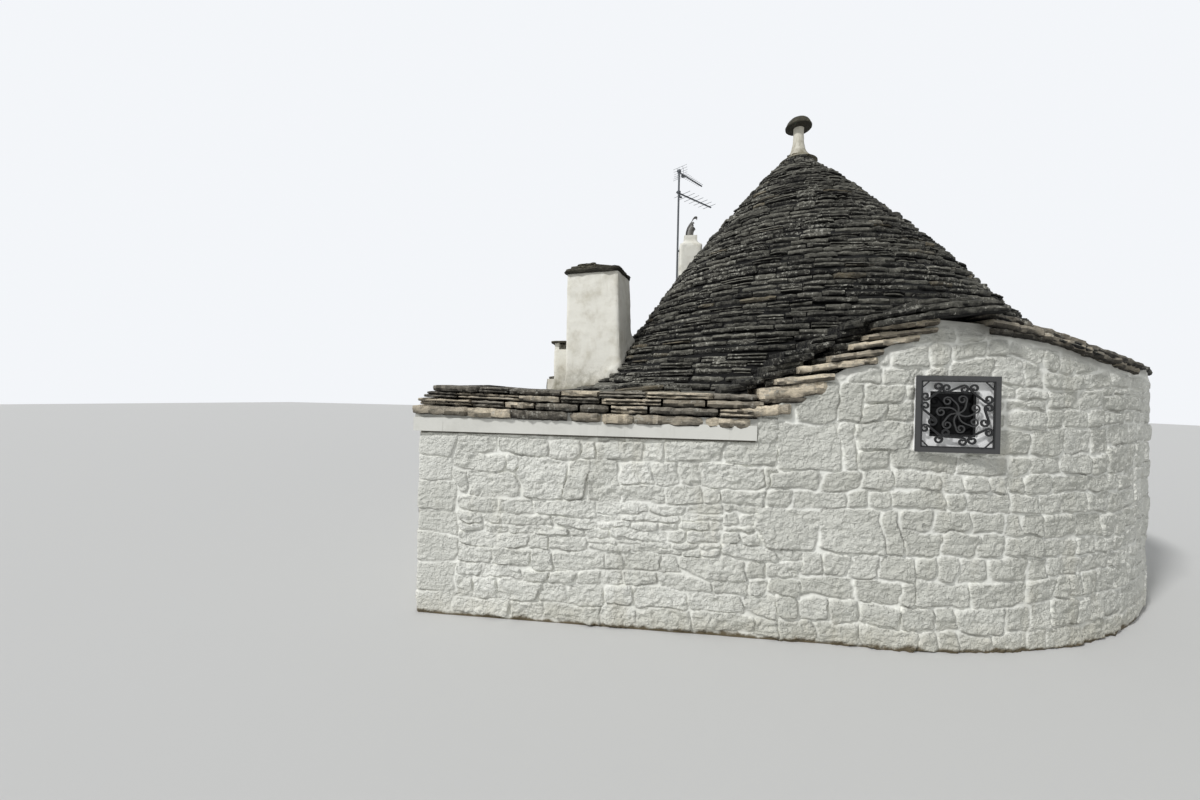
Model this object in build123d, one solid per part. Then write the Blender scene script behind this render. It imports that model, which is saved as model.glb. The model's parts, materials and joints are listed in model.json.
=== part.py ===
from build123d import *
import math
import os

# A dry-stone trullo house: one slab cone over a round room, with a square front-left wing.
# Millimetres, +Z up. The origin is on the ground at the centre of the round wall.
# The front with the window faces -Y, the wing lies to the left at -X.

# Walls in plan
ROUND_RADIUS = 3560
WING_REACH = 3490
WING_BACK = 700
WALL_THICKNESS = 1260
CONE_X = 355

# Heights of the walls
WING_TOP = 1525
ROUND_TOP = 2012
GABLE_TOP = 2250
RAKE_FOOT = 1540

# Front gable: where its rake starts, its flat peak and where the right slope ends
RAKE_START = -957
PEAK_LEFT = 250
PEAK_RIGHT = 580
GABLE_END = 1600

# Rear gable over the doorway: half widths of its flat peak and of its foot
REAR_PEAK_HALF = 210
REAR_FOOT_HALF = 780

# Cone roof: fall for each unit of radius, radius where it is cut for the pinnacle, and the shell inside it
CONE_SLOPE = 1.187
TIP_RADIUS = 119
SLAB_LAYER = 330
VAULT_THICKNESS = 284
VAULT_BULGE = 120
LOWER_RING = 988
UPPER_RING = 1180

# Stepped slab rings of the cone: how many in its foot over the wing and in each of its three parts
FOOT_STEPS = 4
LOWER_STEPS = 8
MIDDLE_STEPS = 9
UPPER_STEPS = 9

# Skirt of slabs between the cone and the edge of the round wall
SKIRT_WIDTH = 646
SKIRT_OVERHANG = 40
SKIRT_STEPS = 2
SKIRT_BEND_RUN = 260
SKIRT_BEND = 2150
SKIRT_EDGE_RUN = 280
SKIRT_EDGE = 2085
SKIRT_FALL = 0.03

# Wing roof and its three eaves courses
EAVES_COURSE = 60
EAVES_COURSES = 3
EAVES_DEPTH = 520
EAVES_OVERHANG = 50
EAVES_STEP = 12
WING_ROOF_RISE = 0.06

# Stone slabs on the rakes of the gables
RAKE_SLABS = 110
FALL_SLABS = 75
COPING_OVERHANG = 60

# Band under the front eaves
BAND_FOOT = 1420
BAND_PROUD = 40
BAND_SEAT = 100

# Hearth alcove in the wing: how far it reaches beyond the chimney's middle, its front, back and height
ALCOVE_REACH = 574
ALCOVE_FRONT = -1750
ALCOVE_BACK = -650
ALCOVE_HEIGHT = 1350

# Window in the front gable
WINDOW_X = 345
WINDOW_Z = 1640
WINDOW_SIZE = 310
PANEL_SIZE = 500
PANEL_PROUD = 15
PANEL_SEAT = 100
GRILLE_WIDTH = 529
GRILLE_HEIGHT = 518
GRILLE_BAR = 34
GRILLE_THICKNESS = 8
GRILLE_STAND = 30
GRILLE_PIN = 14

# Doorway at the back
DOOR_WIDTH = 850
DOOR_HEAD = 1850
DOORSTEP = 100

# Main chimney over the hearth
STACK_SET_IN = 593
STACK_Y = -1037
STACK_TURN = -12.6
STACK_FOOT = (735, 580)
STACK_HEAD = (665, 540)
STACK_LEAN = (-46, 5)
STACK_TOP = 3275
FLUE_WIDTH = 280
FLUE_DEPTH = 200
CAP_LOWER = (655, 575, 65)
CAP_UPPER = (560, 480, 60)

# Small flue left of the main chimney
SMALL_FLUE_APART = 584
SMALL_FLUE_Y = -480
SMALL_FLUE_WIDTH = 250
SMALL_FLUE_TOP = 2470
SMALL_FLUE_BORE = 130
SMALL_FLUE_DEPTH = 350
VENT_HEIGHT = 90
SMALL_SLAB = (330, 310, 40)

# Rear chimney, collar and wind cowl
REAR_STACK_X = -1080
REAR_STACK_Y = 1240
REAR_STACK_WIDTH = 360
REAR_STACK_TOP = 4420
REAR_FLUE = 200
COLLAR_WIDTH = 220
COLLAR_HEIGHT = 170
COWL_RADIUS = 65
COWL_WALL = 6
COWL_BEND = 115
COWL_NECK = 130
COWL_TURN = 80

# Aerial mast, how far it laps the rear chimney and rises over it, its brackets and its two aerials
MAST_X = -1300
MAST_Y = 1240
MAST_RADIUS = 17
MAST_LAP = 720
MAST_RISE = 1380
BRACKET_FROM_FOOT = 150
BRACKET_FROM_HEAD = 70
BRACKET_SECTION = 30
BOOM_WIDTH = 16
ROD_WIDTH = 8
ROD_SET = 25
UPPER_BOOM_DROP = 30
UPPER_BOOM = 755
UPPER_RODS = 5
UPPER_ROD_LENGTH = 300
UPPER_TURN = 51
LOWER_BOOM_DROP = 405
LOWER_BOOM = 935
LOWER_RODS = 7
LOWER_ROD_LENGTH = 380
LOWER_TURN = 45

# Pinnacle
NECK_RADIUS = 68
NECK_FLARE = 100
NECK_HEIGHT = 360
CAP_RADIUS = 180
CAP_SEAT_RADIUS = 145
CAP_RIM = 55
CAP_HEIGHT = 215

# Directions in degrees, from the cone axis, where the round wall is parted
ROUND_PARTS = (-20, 21, 62)
BACK_PART = 132

# Radius of the room, and the heights of the cone's virtual apex, its tip and rings, and the pinnacle
room_radius = ROUND_RADIUS - WALL_THICKNESS
cone_apex = ROUND_TOP + CONE_SLOPE * (ROUND_RADIUS - SKIRT_WIDTH)
tip_level = cone_apex - CONE_SLOPE * TIP_RADIUS
lower_split = ROUND_TOP + LOWER_RING
upper_split = tip_level - UPPER_RING
neck_top = tip_level + NECK_HEIGHT
cap_top = neck_top + CAP_HEIGHT

# Far enough to pass every wall and roof
reach = 2 * (ROUND_RADIUS + WING_REACH)
tall = 2 * cap_top


def block(x0, x1, y0, y1, z0, z1):
    """Box between six planes."""
    return Pos((x0 + x1) / 2, (y0 + y1) / 2, (z0 + z1) / 2) * Box(x1 - x0, y1 - y0, z1 - z0)


def turned(points):
    """Body of revolution about the cone axis, from points of radius and height."""
    return Pos(CONE_X, 0, 0) * revolve(Plane.XZ * Polygon(*points, align=None), Axis.Z)


def sector(start, end, bottom=-1, top=tall):
    """Upright wedge about the cone axis between two directions in degrees."""
    steps = max(1, math.ceil((end - start) / 60))
    points = [(0, 0)]
    for k in range(steps + 1):
        a = math.radians(start + (end - start) * k / steps)
        points.append((reach * math.cos(a), reach * math.sin(a)))
    return Pos(CONE_X, 0, bottom) * extrude(Polygon(*points, align=None), top - bottom, dir=(0, 0, 1))


def across(points, y0, y1):
    """Upright prism whose outline is given by points of x and z, from y0 to y1."""
    return extrude(Plane.XZ.offset(-y1) * Polygon(*points, align=None), y1 - y0, dir=(0, -1, 0))


def wing_meets_round(margin):
    """Point of x and y where the wing's side, or its back, runs into the round wall."""
    radius = ROUND_RADIUS + margin
    left = WING_REACH + margin
    if left ** 2 + WING_BACK ** 2 < radius ** 2:
        return (-left, math.sqrt(radius ** 2 - left ** 2))
    return (-math.sqrt(radius ** 2 - WING_BACK ** 2), WING_BACK)


def footprint(margin, bottom, top):
    """Outline of the house on the ground, grown by a margin, between two heights."""
    radius = ROUND_RADIUS + margin
    left = -(WING_REACH + margin)
    meet = wing_meets_round(margin)
    corners = [meet, (left, -radius), (0, -radius)]
    if meet[0] > left:
        corners.insert(1, (left, meet[1]))
    edge = Polyline(*corners) + ThreePointArc((0, -radius), (radius, 0), meet)
    return Pos(0, 0, bottom) * extrude(make_face(edge), top - bottom, dir=(0, 0, 1))


def cone_radius(z):
    """Radius of the cone roof at a height."""
    return (cone_apex - z) / CONE_SLOPE


def cone_steps(bottom, top, steps):
    """Points of radius and height up the stepped outside of the cone between two heights."""
    rise = (top - bottom) / steps
    points = []
    for k in range(steps):
        head = bottom + rise * (k + 1)
        points += [(cone_radius(head), head - rise), (cone_radius(head), head)]
    return points


def cone_solid(bottom, top, steps):
    """Solid stepped cone of the roof between two heights."""
    return turned([(0, bottom)] + cone_steps(bottom, top, steps) + [(0, top)])


def vault(foot_radius, foot, head):
    """Solid under a pointed, slightly bulging vault."""
    lean = math.atan2(head - foot, foot_radius)
    middle = (foot_radius / 2 + VAULT_BULGE * math.sin(lean),
              (foot + head) / 2 + VAULT_BULGE * math.cos(lean))
    edge = Polyline((foot_radius, foot), (0, foot), (0, head))
    edge += ThreePointArc((0, head), middle, (foot_radius, foot))
    return Pos(CONE_X, 0, 0) * revolve(Plane.XZ * make_face(edge), Axis.Z)


# Solids that shape the others
meet_x, meet_y = wing_meets_round(0)
wing_end = math.degrees(math.atan2(meet_y, meet_x - CONE_X))
room = Pos(CONE_X, 0, tall / 2) * Cylinder(room_radius, tall + 2)
full_cone = turned([(0, WING_TOP)] + cone_steps(WING_TOP, ROUND_TOP, FOOT_STEPS)
                   + cone_steps(ROUND_TOP, lower_split, LOWER_STEPS)
                   + cone_steps(lower_split, upper_split, MIDDLE_STEPS)
                   + cone_steps(upper_split, tip_level, UPPER_STEPS) + [(0, tip_level)])
low_walls = footprint(0, 0, WING_TOP) - room
high_walls = footprint(0, 0, ROUND_TOP) - room
vault_radius = cone_radius(ROUND_TOP) - SLAB_LAYER
vault_head = cone_apex - CONE_SLOPE * SLAB_LAYER
inner_radius = vault_radius - VAULT_THICKNESS
inner_head = vault_head - CONE_SLOPE * VAULT_THICKNESS
vault_outside = vault(vault_radius, ROUND_TOP, vault_head)
vault_inside = vault(inner_radius, ROUND_TOP, inner_head)

half_window = WINDOW_SIZE / 2
window_left = WINDOW_X - half_window
window_right = WINDOW_X + half_window
window_foot = WINDOW_Z - half_window
window_head = WINDOW_Z + half_window
half_panel = PANEL_SIZE / 2
panel_front = -ROUND_RADIUS - PANEL_PROUD
panel_seat = block(WINDOW_X - half_panel, WINDOW_X + half_panel, panel_front, -ROUND_RADIUS + PANEL_SEAT,
                   WINDOW_Z - half_panel, WINDOW_Z + half_panel)
door_left = CONE_X - DOOR_WIDTH / 2
door_right = CONE_X + DOOR_WIDTH / 2
stack_x = CONE_X - cone_radius(WING_TOP) + STACK_SET_IN
alcove_left = stack_x - ALCOVE_REACH
stack_place = Pos(stack_x, STACK_Y, 0) * Rot(0, 0, STACK_TURN)
flue_place = (stack_place * Pos(STACK_LEAN[0] / 2, STACK_LEAN[1] / 2, 0)).position
flue = block(flue_place.X - FLUE_WIDTH / 2, flue_place.X + FLUE_WIDTH / 2, flue_place.Y - FLUE_DEPTH / 2,
             flue_place.Y + FLUE_DEPTH / 2, ALCOVE_HEIGHT - 1, STACK_TOP)
rear_flue = block(REAR_STACK_X - REAR_FLUE / 2, REAR_STACK_X + REAR_FLUE / 2,
                  REAR_STACK_Y - REAR_FLUE / 2, REAR_STACK_Y + REAR_FLUE / 2, ROUND_TOP, REAR_STACK_TOP)

parts = {}

# Front wing: a thick wall with the hearth alcove behind it
band_box = block(-WING_REACH - BAND_PROUD, RAKE_START, -ROUND_RADIUS - BAND_PROUD,
                 -ROUND_RADIUS + BAND_SEAT, BAND_FOOT, WING_TOP)
front_region = block(-reach, RAKE_START, -reach, ALCOVE_FRONT, -1, tall)
parts["front_wall"] = (low_walls & front_region) - band_box
parts["front_fascia_band"] = band_box
parts["alcove_side_wall"] = block(-WING_REACH, alcove_left, ALCOVE_FRONT, ALCOVE_BACK, 0, WING_TOP)
parts["left_side_wall"] = low_walls & sector(wing_end, 270) & block(-reach, 0, ALCOVE_BACK, reach, -1, tall)
parts["alcove_ceiling"] = (low_walls & block(alcove_left, RAKE_START, ALCOVE_FRONT, ALCOVE_BACK,
                                             ALCOVE_HEIGHT, WING_TOP)) - flue

# Front gable, parted round the window
gable_line = [(RAKE_START, WING_TOP), (RAKE_START, RAKE_FOOT), (PEAK_LEFT, GABLE_TOP),
              (PEAK_RIGHT, GABLE_TOP), (GABLE_END, ROUND_TOP), (GABLE_END, WING_TOP)]
gable_prism = (across(gable_line, -reach, 0) & footprint(0, 0, tall)) - full_cone
left_of_window = block(RAKE_START, window_left, -reach, 0, -1, tall)
over_window = block(window_left, window_right, -reach, 0, -1, tall)
right_of_window = block(window_right, GABLE_END, -reach, 0, -1, tall)
gable_low = (low_walls + gable_prism) - panel_seat
gable_high = ((high_walls & block(window_left, reach, -reach, 0, -1, tall)) + (
    gable_prism & block(window_left, reach, -reach, 0, ROUND_TOP, tall))) - panel_seat
front_half = block(-reach, reach, -reach, -room_radius / 3, -1, tall)
parts["gable_wall_left"] = gable_low & left_of_window & front_half
parts["wall_below_window"] = gable_high & over_window & block(-reach, reach, -reach, 0, -1, window_foot)
parts["wall_over_window"] = gable_high & over_window & block(-reach, reach, -reach, 0, window_head, tall)
parts["gable_wall_right"] = gable_high & right_of_window

# Round wall, from the gable to the doorway and on to the wing
round_region = block(GABLE_END, reach, -reach, reach, -1, tall)
parts["round_wall_front"] = high_walls & sector(-90, ROUND_PARTS[0]) & round_region
parts["round_wall_right"] = high_walls & sector(ROUND_PARTS[0], ROUND_PARTS[1])
parts["round_wall_back_right"] = high_walls & sector(ROUND_PARTS[1], ROUND_PARTS[2])
rear_line = [(CONE_X - REAR_FOOT_HALF, ROUND_TOP), (CONE_X - REAR_PEAK_HALF, GABLE_TOP),
             (CONE_X + REAR_PEAK_HALF, GABLE_TOP), (CONE_X + REAR_FOOT_HALF, ROUND_TOP)]
rear_prism = (across(rear_line, 0, reach) & footprint(0, 0, tall)) - full_cone
rear_walls = high_walls + rear_prism
parts["doorway_pier_right"] = rear_walls & sector(ROUND_PARTS[2], 90) & block(
    door_right, reach, 0, reach, -1, tall)
parts["doorway_pier_left"] = rear_walls & sector(90, BACK_PART) & block(
    -reach, door_left, 0, reach, -1, tall)
parts["doorway_lintel"] = rear_walls & block(door_left, door_right, 0, reach, DOOR_HEAD, tall)
parts["doorway_threshold"] = high_walls & block(door_left, door_right, 0, reach, -1, DOORSTEP)
parts["round_wall_back_left"] = high_walls & sector(BACK_PART, wing_end)

# Foot of the cone over the wing, then the cone in three rings over the inner vault
ring_foot = turned([(room_radius, WING_TOP)] + cone_steps(WING_TOP, ROUND_TOP, FOOT_STEPS)
                   + [(room_radius, ROUND_TOP)])
foot_region = sector(wing_end, 270) & block(-reach, window_left, -reach, reach, -1, tall)
parts["cone_foot"] = (ring_foot & foot_region) - flue
parts["cone_roof_lower"] = cone_solid(ROUND_TOP, lower_split, LOWER_STEPS) - vault_outside - rear_flue - flue
parts["cone_roof_middle"] = cone_solid(lower_split, upper_split, MIDDLE_STEPS) - vault_outside - rear_flue
parts["cone_roof_upper"] = cone_solid(upper_split, tip_level, UPPER_STEPS) - vault_outside
vault_shell = vault_outside - vault_inside - rear_flue
parts["inner_vault_lower"] = vault_shell & block(-reach, reach, -reach, reach, 0, lower_split)
parts["inner_vault_upper"] = vault_shell & block(-reach, reach, -reach, reach, lower_split, tall)

# Wing roof and its eaves courses
eaves_back = -ROUND_RADIUS + EAVES_DEPTH
wing_brow = WING_TOP + EAVES_COURSE * EAVES_COURSES
slope_points = [(eaves_back, WING_TOP), (eaves_back, wing_brow),
                (eaves_back + reach, wing_brow + WING_ROOF_RISE * reach), (eaves_back + reach, WING_TOP)]
under_slope = Pos(-reach, 0, 0) * extrude(
    Plane.YZ * Polygon(*slope_points, align=None), reach + RAKE_START, dir=(1, 0, 0))
wing_body = footprint(0, WING_TOP, tall) & sector(wing_end, 270)
parts["wing_roof"] = (wing_body & under_slope) - full_cone - flue
eaves = None
for k in range(EAVES_COURSES):
    proud = EAVES_OVERHANG + EAVES_STEP * k
    course = block(-WING_REACH - proud, RAKE_START, -ROUND_RADIUS - proud, eaves_back,
                   WING_TOP + EAVES_COURSE * k, WING_TOP + EAVES_COURSE * (k + 1))
    eaves = course if eaves is None else eaves + course
parts["eaves_courses"] = eaves - full_cone

# Slabs laid along the gable tops
rake_top = GABLE_TOP + RAKE_SLABS
rake_line = [(RAKE_START, RAKE_FOOT), (RAKE_START, RAKE_FOOT + RAKE_SLABS), (PEAK_LEFT, rake_top),
             (PEAK_RIGHT, rake_top), (PEAK_RIGHT, GABLE_TOP), (PEAK_LEFT, GABLE_TOP)]
fall_line = [(PEAK_RIGHT, GABLE_TOP), (PEAK_RIGHT, rake_top),
             (GABLE_END, ROUND_TOP + FALL_SLABS), (GABLE_END, ROUND_TOP)]
roof_edge = footprint(COPING_OVERHANG, 0, tall)
for name, line in (("gable_rake_left", rake_line), ("gable_rake_right", fall_line)):
    parts[name] = (across(line, -reach, -room_radius / 3) & roof_edge) - full_cone
rear_slab_line = rear_line + [(x, z + FALL_SLABS) for x, z in reversed(rear_line)]
parts["rear_gable_slabs"] = (across(rear_slab_line, room_radius / 3, reach) & roof_edge) - full_cone

# Skirt of slabs round the foot of the cone
skirt_head = ROUND_TOP + LOWER_RING / LOWER_STEPS * SKIRT_STEPS
skirt_start = cone_radius(skirt_head)
skirt_bend = skirt_start + SKIRT_BEND_RUN
skirt_edge = skirt_bend + SKIRT_EDGE_RUN
skirt_reach = skirt_edge + ROUND_RADIUS / 2
skirt_body = turned([(room_radius, ROUND_TOP), (skirt_start, skirt_head),
                     (skirt_bend, SKIRT_BEND), (skirt_edge, SKIRT_EDGE),
                     (skirt_reach, SKIRT_EDGE - SKIRT_FALL * (skirt_reach - skirt_edge)),
                     (skirt_reach, ROUND_TOP)])
skirt = (skirt_body & footprint(SKIRT_OVERHANG, 0, tall)) - full_cone
rear_foot_left = CONE_X - REAR_FOOT_HALF
rear_foot_right = CONE_X + REAR_FOOT_HALF
parts["skirt_roof_front"] = skirt & sector(-90, ROUND_PARTS[0]) & round_region
parts["skirt_roof_right"] = skirt & sector(ROUND_PARTS[0], ROUND_PARTS[1])
parts["skirt_roof_back"] = skirt & sector(ROUND_PARTS[1], 90) & block(
    rear_foot_right, reach, 0, reach, -1, tall)
parts["skirt_roof_left"] = skirt & sector(90, wing_end) & block(
    -reach, rear_foot_left, 0, reach, -1, tall)

# Main chimney with two rough cap slabs
head_place = Pos(STACK_LEAN[0], STACK_LEAN[1], 0)
stack = stack_place * loft([Pos(0, 0, WING_TOP) * Rectangle(*STACK_FOOT),
                            head_place * Pos(0, 0, STACK_TOP) * Rectangle(*STACK_HEAD)])
parts["main_chimney_stack"] = stack - full_cone - parts["wing_roof"] - flue
cap_mid = STACK_TOP + CAP_LOWER[2]
lower_slab = Pos(0, 0, STACK_TOP + CAP_LOWER[2] / 2) * Box(*CAP_LOWER)
upper_slab = Pos(0, 0, cap_mid + CAP_UPPER[2] / 2) * Box(*CAP_UPPER)
parts["main_chimney_cap"] = stack_place * head_place * (lower_slab + upper_slab)

# Small flue with a vent under its slab
half_small = SMALL_FLUE_WIDTH / 2
half_bore = SMALL_FLUE_BORE / 2
small_x = stack_x - SMALL_FLUE_APART
small_post = block(small_x - half_small, small_x + half_small,
                   SMALL_FLUE_Y - half_small, SMALL_FLUE_Y + half_small, WING_TOP, SMALL_FLUE_TOP)
small_bore = block(small_x - half_bore, small_x + half_bore, SMALL_FLUE_Y - half_bore,
                   SMALL_FLUE_Y + half_bore, SMALL_FLUE_TOP - SMALL_FLUE_DEPTH, SMALL_FLUE_TOP)
small_vent = block(small_x - half_bore, small_x + half_bore, SMALL_FLUE_Y - half_small - 1,
                   SMALL_FLUE_Y, SMALL_FLUE_TOP - VENT_HEIGHT, SMALL_FLUE_TOP)
parts["small_flue_post"] = small_post - parts["wing_roof"] - full_cone - small_bore - small_vent
parts["small_flue_slab"] = Pos(small_x, SMALL_FLUE_Y, SMALL_FLUE_TOP + SMALL_SLAB[2] / 2) * Box(*SMALL_SLAB)

# Rear chimney with a collar and a bent wind cowl
half_rear = REAR_STACK_WIDTH / 2
rear_stack = block(REAR_STACK_X - half_rear, REAR_STACK_X + half_rear, REAR_STACK_Y - half_rear,
                   REAR_STACK_Y + half_rear, ROUND_TOP, REAR_STACK_TOP)
collar_top = REAR_STACK_TOP + COLLAR_HEIGHT
cowl_place = Pos(REAR_STACK_X, REAR_STACK_Y, 0)
collar = cowl_place * Pos(0, 0, REAR_STACK_TOP + COLLAR_HEIGHT / 2) * (
    Box(COLLAR_WIDTH, COLLAR_WIDTH, COLLAR_HEIGHT) - Cylinder(COWL_RADIUS - COWL_WALL, COLLAR_HEIGHT))
parts["rear_chimney_stack"] = (rear_stack - full_cone - rear_flue) + collar
cowl_ring = Circle(COWL_RADIUS) - Circle(COWL_RADIUS - COWL_WALL)
cowl_neck = extrude(Pos(0, 0, collar_top) * cowl_ring, COWL_NECK)
bend_axis = Axis((COWL_BEND, 0, collar_top + COWL_NECK), (0, 1, 0))
cowl_bend = revolve(Pos(0, 0, collar_top + COWL_NECK) * cowl_ring, bend_axis, COWL_TURN)
parts["rear_chimney_cowl"] = cowl_place * (cowl_neck + cowl_bend)

# Aerial mast, held to the rear chimney, and its two aerials
mast_foot = REAR_STACK_TOP - MAST_LAP
mast_top = REAR_STACK_TOP + MAST_RISE
mast_middle = Pos(MAST_X, MAST_Y, (mast_foot + mast_top) / 2)
parts["aerial_mast"] = mast_middle * Cylinder(MAST_RADIUS, mast_top - mast_foot)
for level in (mast_foot + BRACKET_FROM_FOOT, REAR_STACK_TOP - BRACKET_FROM_HEAD):
    parts["aerial_mast"] += block(MAST_X, REAR_STACK_X - half_rear, MAST_Y - BRACKET_SECTION / 2,
                                  MAST_Y + BRACKET_SECTION / 2, level - BRACKET_SECTION / 2,
                                  level + BRACKET_SECTION / 2)


def aerial(level, length, rods, rod_length, turn):
    """Aerial boom from the mast with evenly spaced rods, turned away to the back."""
    body = block(-BOOM_WIDTH, length, MAST_RADIUS, MAST_RADIUS + BOOM_WIDTH,
                 -BOOM_WIDTH / 2, BOOM_WIDTH / 2)
    for k in range(rods):
        x = (length - ROD_SET) * (k + 1) / rods
        body += block(x - ROD_WIDTH / 2, x + ROD_WIDTH / 2, MAST_RADIUS + BOOM_WIDTH / 2 - rod_length / 2,
                      MAST_RADIUS + BOOM_WIDTH / 2 + rod_length / 2, -ROD_WIDTH / 2, ROD_WIDTH / 2)
    return Pos(MAST_X, MAST_Y, level) * Rot(0, 0, turn) * body


upper_level = mast_top - UPPER_BOOM_DROP
lower_level = mast_top - LOWER_BOOM_DROP
parts["upper_aerial"] = aerial(upper_level, UPPER_BOOM, UPPER_RODS, UPPER_ROD_LENGTH, UPPER_TURN)
parts["lower_aerial"] = aerial(lower_level, LOWER_BOOM, LOWER_RODS, LOWER_ROD_LENGTH, LOWER_TURN)

# Pinnacle: a whitewashed neck and a domed stone cap
flare_top = (NECK_RADIUS, tip_level + NECK_FLARE)
parts["pinnacle_neck"] = turned([(0, tip_level), (TIP_RADIUS, tip_level), flare_top,
                                 (NECK_RADIUS, neck_top), (0, neck_top)])
cap_edge = Polyline((0, cap_top), (0, neck_top), (CAP_SEAT_RADIUS, neck_top),
                    (CAP_RADIUS, neck_top + CAP_RIM))
crown = CAP_HEIGHT - CAP_RIM
crown_radius = (CAP_RADIUS ** 2 + crown ** 2) / (2 * crown)
half_arc = math.atan2(crown, CAP_RADIUS)
cap_edge += ThreePointArc((CAP_RADIUS, neck_top + CAP_RIM), (
    crown_radius * math.sin(half_arc), cap_top - crown_radius * (1 - math.cos(half_arc))), (0, cap_top))
parts["pinnacle_cap"] = Pos(CONE_X, 0, 0) * revolve(Plane.XZ * make_face(cap_edge), Axis.Z)

# Window: smooth panel with the opening, and the grille's frame on four pins
tunnel = block(window_left, window_right, -reach, 0, window_foot, window_head)
parts["window_panel"] = panel_seat - tunnel
grille_back = panel_front - GRILLE_STAND
grille_front = grille_back - GRILLE_THICKNESS
frame_outer = Box(GRILLE_WIDTH, GRILLE_THICKNESS, GRILLE_HEIGHT)
frame_inner = Box(GRILLE_WIDTH - 2 * GRILLE_BAR, GRILLE_THICKNESS, GRILLE_HEIGHT - 2 * GRILLE_BAR)
grille = Pos(WINDOW_X, (grille_back + grille_front) / 2, WINDOW_Z) * (frame_outer - frame_inner)
pin_x = GRILLE_WIDTH / 2 - GRILLE_BAR + GRILLE_PIN / 2
pin_z = GRILLE_HEIGHT / 2 - GRILLE_BAR + GRILLE_PIN / 2
for sx in (-1, 1):
    for sz in (-1, 1):
        x = WINDOW_X + sx * pin_x
        z = WINDOW_Z + sz * pin_z
        grille += block(x - GRILLE_PIN / 2, x + GRILLE_PIN / 2, grille_back, panel_front,
                        z - GRILLE_PIN / 2, z + GRILLE_PIN / 2)
parts["window_grille_frame"] = grille

os.makedirs("parts", exist_ok=True)
for name, shape in parts.items():
    export_step(shape, f"parts/{name}.step")
    print(name, round(shape.volume / 1e6, 1), len(shape.solids()))
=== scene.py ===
"""Looks of a dry-stone trullo house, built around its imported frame. Metres, +Z up, front towards -Y."""

import itertools
import json
import logging
import math
from dataclasses import dataclass, field
from enum import Enum
from functools import cache
from typing import Callable, Sequence

import bpy
import numpy as np
from mathutils import Matrix, Vector

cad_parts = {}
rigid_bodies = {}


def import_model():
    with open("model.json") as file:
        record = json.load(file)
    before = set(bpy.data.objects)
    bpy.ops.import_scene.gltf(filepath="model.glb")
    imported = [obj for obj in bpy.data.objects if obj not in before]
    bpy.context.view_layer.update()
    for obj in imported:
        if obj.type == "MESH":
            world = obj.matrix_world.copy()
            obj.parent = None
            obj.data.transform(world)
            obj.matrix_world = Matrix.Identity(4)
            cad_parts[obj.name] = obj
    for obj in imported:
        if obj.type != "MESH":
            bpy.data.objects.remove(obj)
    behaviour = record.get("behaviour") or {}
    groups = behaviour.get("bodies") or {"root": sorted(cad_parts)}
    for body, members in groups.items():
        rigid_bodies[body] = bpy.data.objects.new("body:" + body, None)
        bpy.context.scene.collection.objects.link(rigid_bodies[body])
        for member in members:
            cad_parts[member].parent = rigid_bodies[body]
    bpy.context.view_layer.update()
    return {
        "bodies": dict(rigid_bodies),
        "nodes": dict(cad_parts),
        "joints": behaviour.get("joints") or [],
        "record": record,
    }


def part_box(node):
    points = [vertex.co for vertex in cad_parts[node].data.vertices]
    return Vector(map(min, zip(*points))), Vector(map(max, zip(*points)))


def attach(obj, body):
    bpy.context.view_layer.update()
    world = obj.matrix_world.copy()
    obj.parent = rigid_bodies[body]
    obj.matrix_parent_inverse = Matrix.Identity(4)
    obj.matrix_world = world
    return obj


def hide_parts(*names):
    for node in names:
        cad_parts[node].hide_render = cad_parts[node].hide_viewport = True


log = logging.getLogger("trullo")

Array = np.ndarray
Material = bpy.types.Material
Socket = bpy.types.NodeSocket
Colour = tuple[int, int, int]
Pair = tuple[float, float]
Triple = tuple[float, float, float]

SRGB_KNEE = 0.04045
HASH_PRIMES = (73856093, 19349663, 83492791, 1274126177, 974634777)
FULL_TURN = 2 * math.pi
UP: Triple = (0.0, 0.0, 1.0)
INTO_WALL: Triple = (0.0, 1.0, 0.0)


def linear(colour: Colour) -> tuple[float, ...]:
    """Turn an sRGB colour of 0 to 255 into linear values with full alpha."""
    parts = [value / 255 for value in colour]
    return (*(p / 12.92 if p <= SRGB_KNEE else ((p + 0.055) / 1.055) ** 2.4 for p in parts), 1.0)


def hash01(i: Array, j: Array, seed: int) -> Array:
    """Spread whole-number pairs evenly over 0 to 1.

    Args:
        i: First whole numbers.
        j: Second whole numbers.
        seed: Which spread to use.

    Returns:
        One value of 0 to 1 for each pair.
    """
    first, second, third, fourth, fifth = HASH_PRIMES
    n = (i.astype(np.int64) * first) ^ (j.astype(np.int64) * second) ^ np.int64(seed * third)
    n = ((n ^ (n >> 13)) * fourth) & 0x7FFFFFFF
    n = ((n ^ (n >> 15)) * fifth) & 0x7FFFFFFF
    return (n & 0xFFFFF) / 1048575.0


def noise(x: Array, y: Array, seed: int = 0) -> Array:
    """Smooth lattice noise of -1 to 1.

    Args:
        x: First coordinates, in cells.
        y: Second coordinates, in cells.
        seed: Which noise to use.

    Returns:
        The noise at each point.
    """
    x, y = np.broadcast_arrays(np.asarray(x, float), np.asarray(y, float))
    xi, yi = np.floor(x).astype(np.int64), np.floor(y).astype(np.int64)
    fx, fy = x - xi, y - yi
    u, v = fx * fx * (3 - 2 * fx), fy * fy * (3 - 2 * fy)
    low = hash01(xi, yi, seed) * (1 - u) + hash01(xi + 1, yi, seed) * u
    high = hash01(xi, yi + 1, seed) * (1 - u) + hash01(xi + 1, yi + 1, seed) * u
    return (low * (1 - v) + high * v) * 2 - 1


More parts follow.
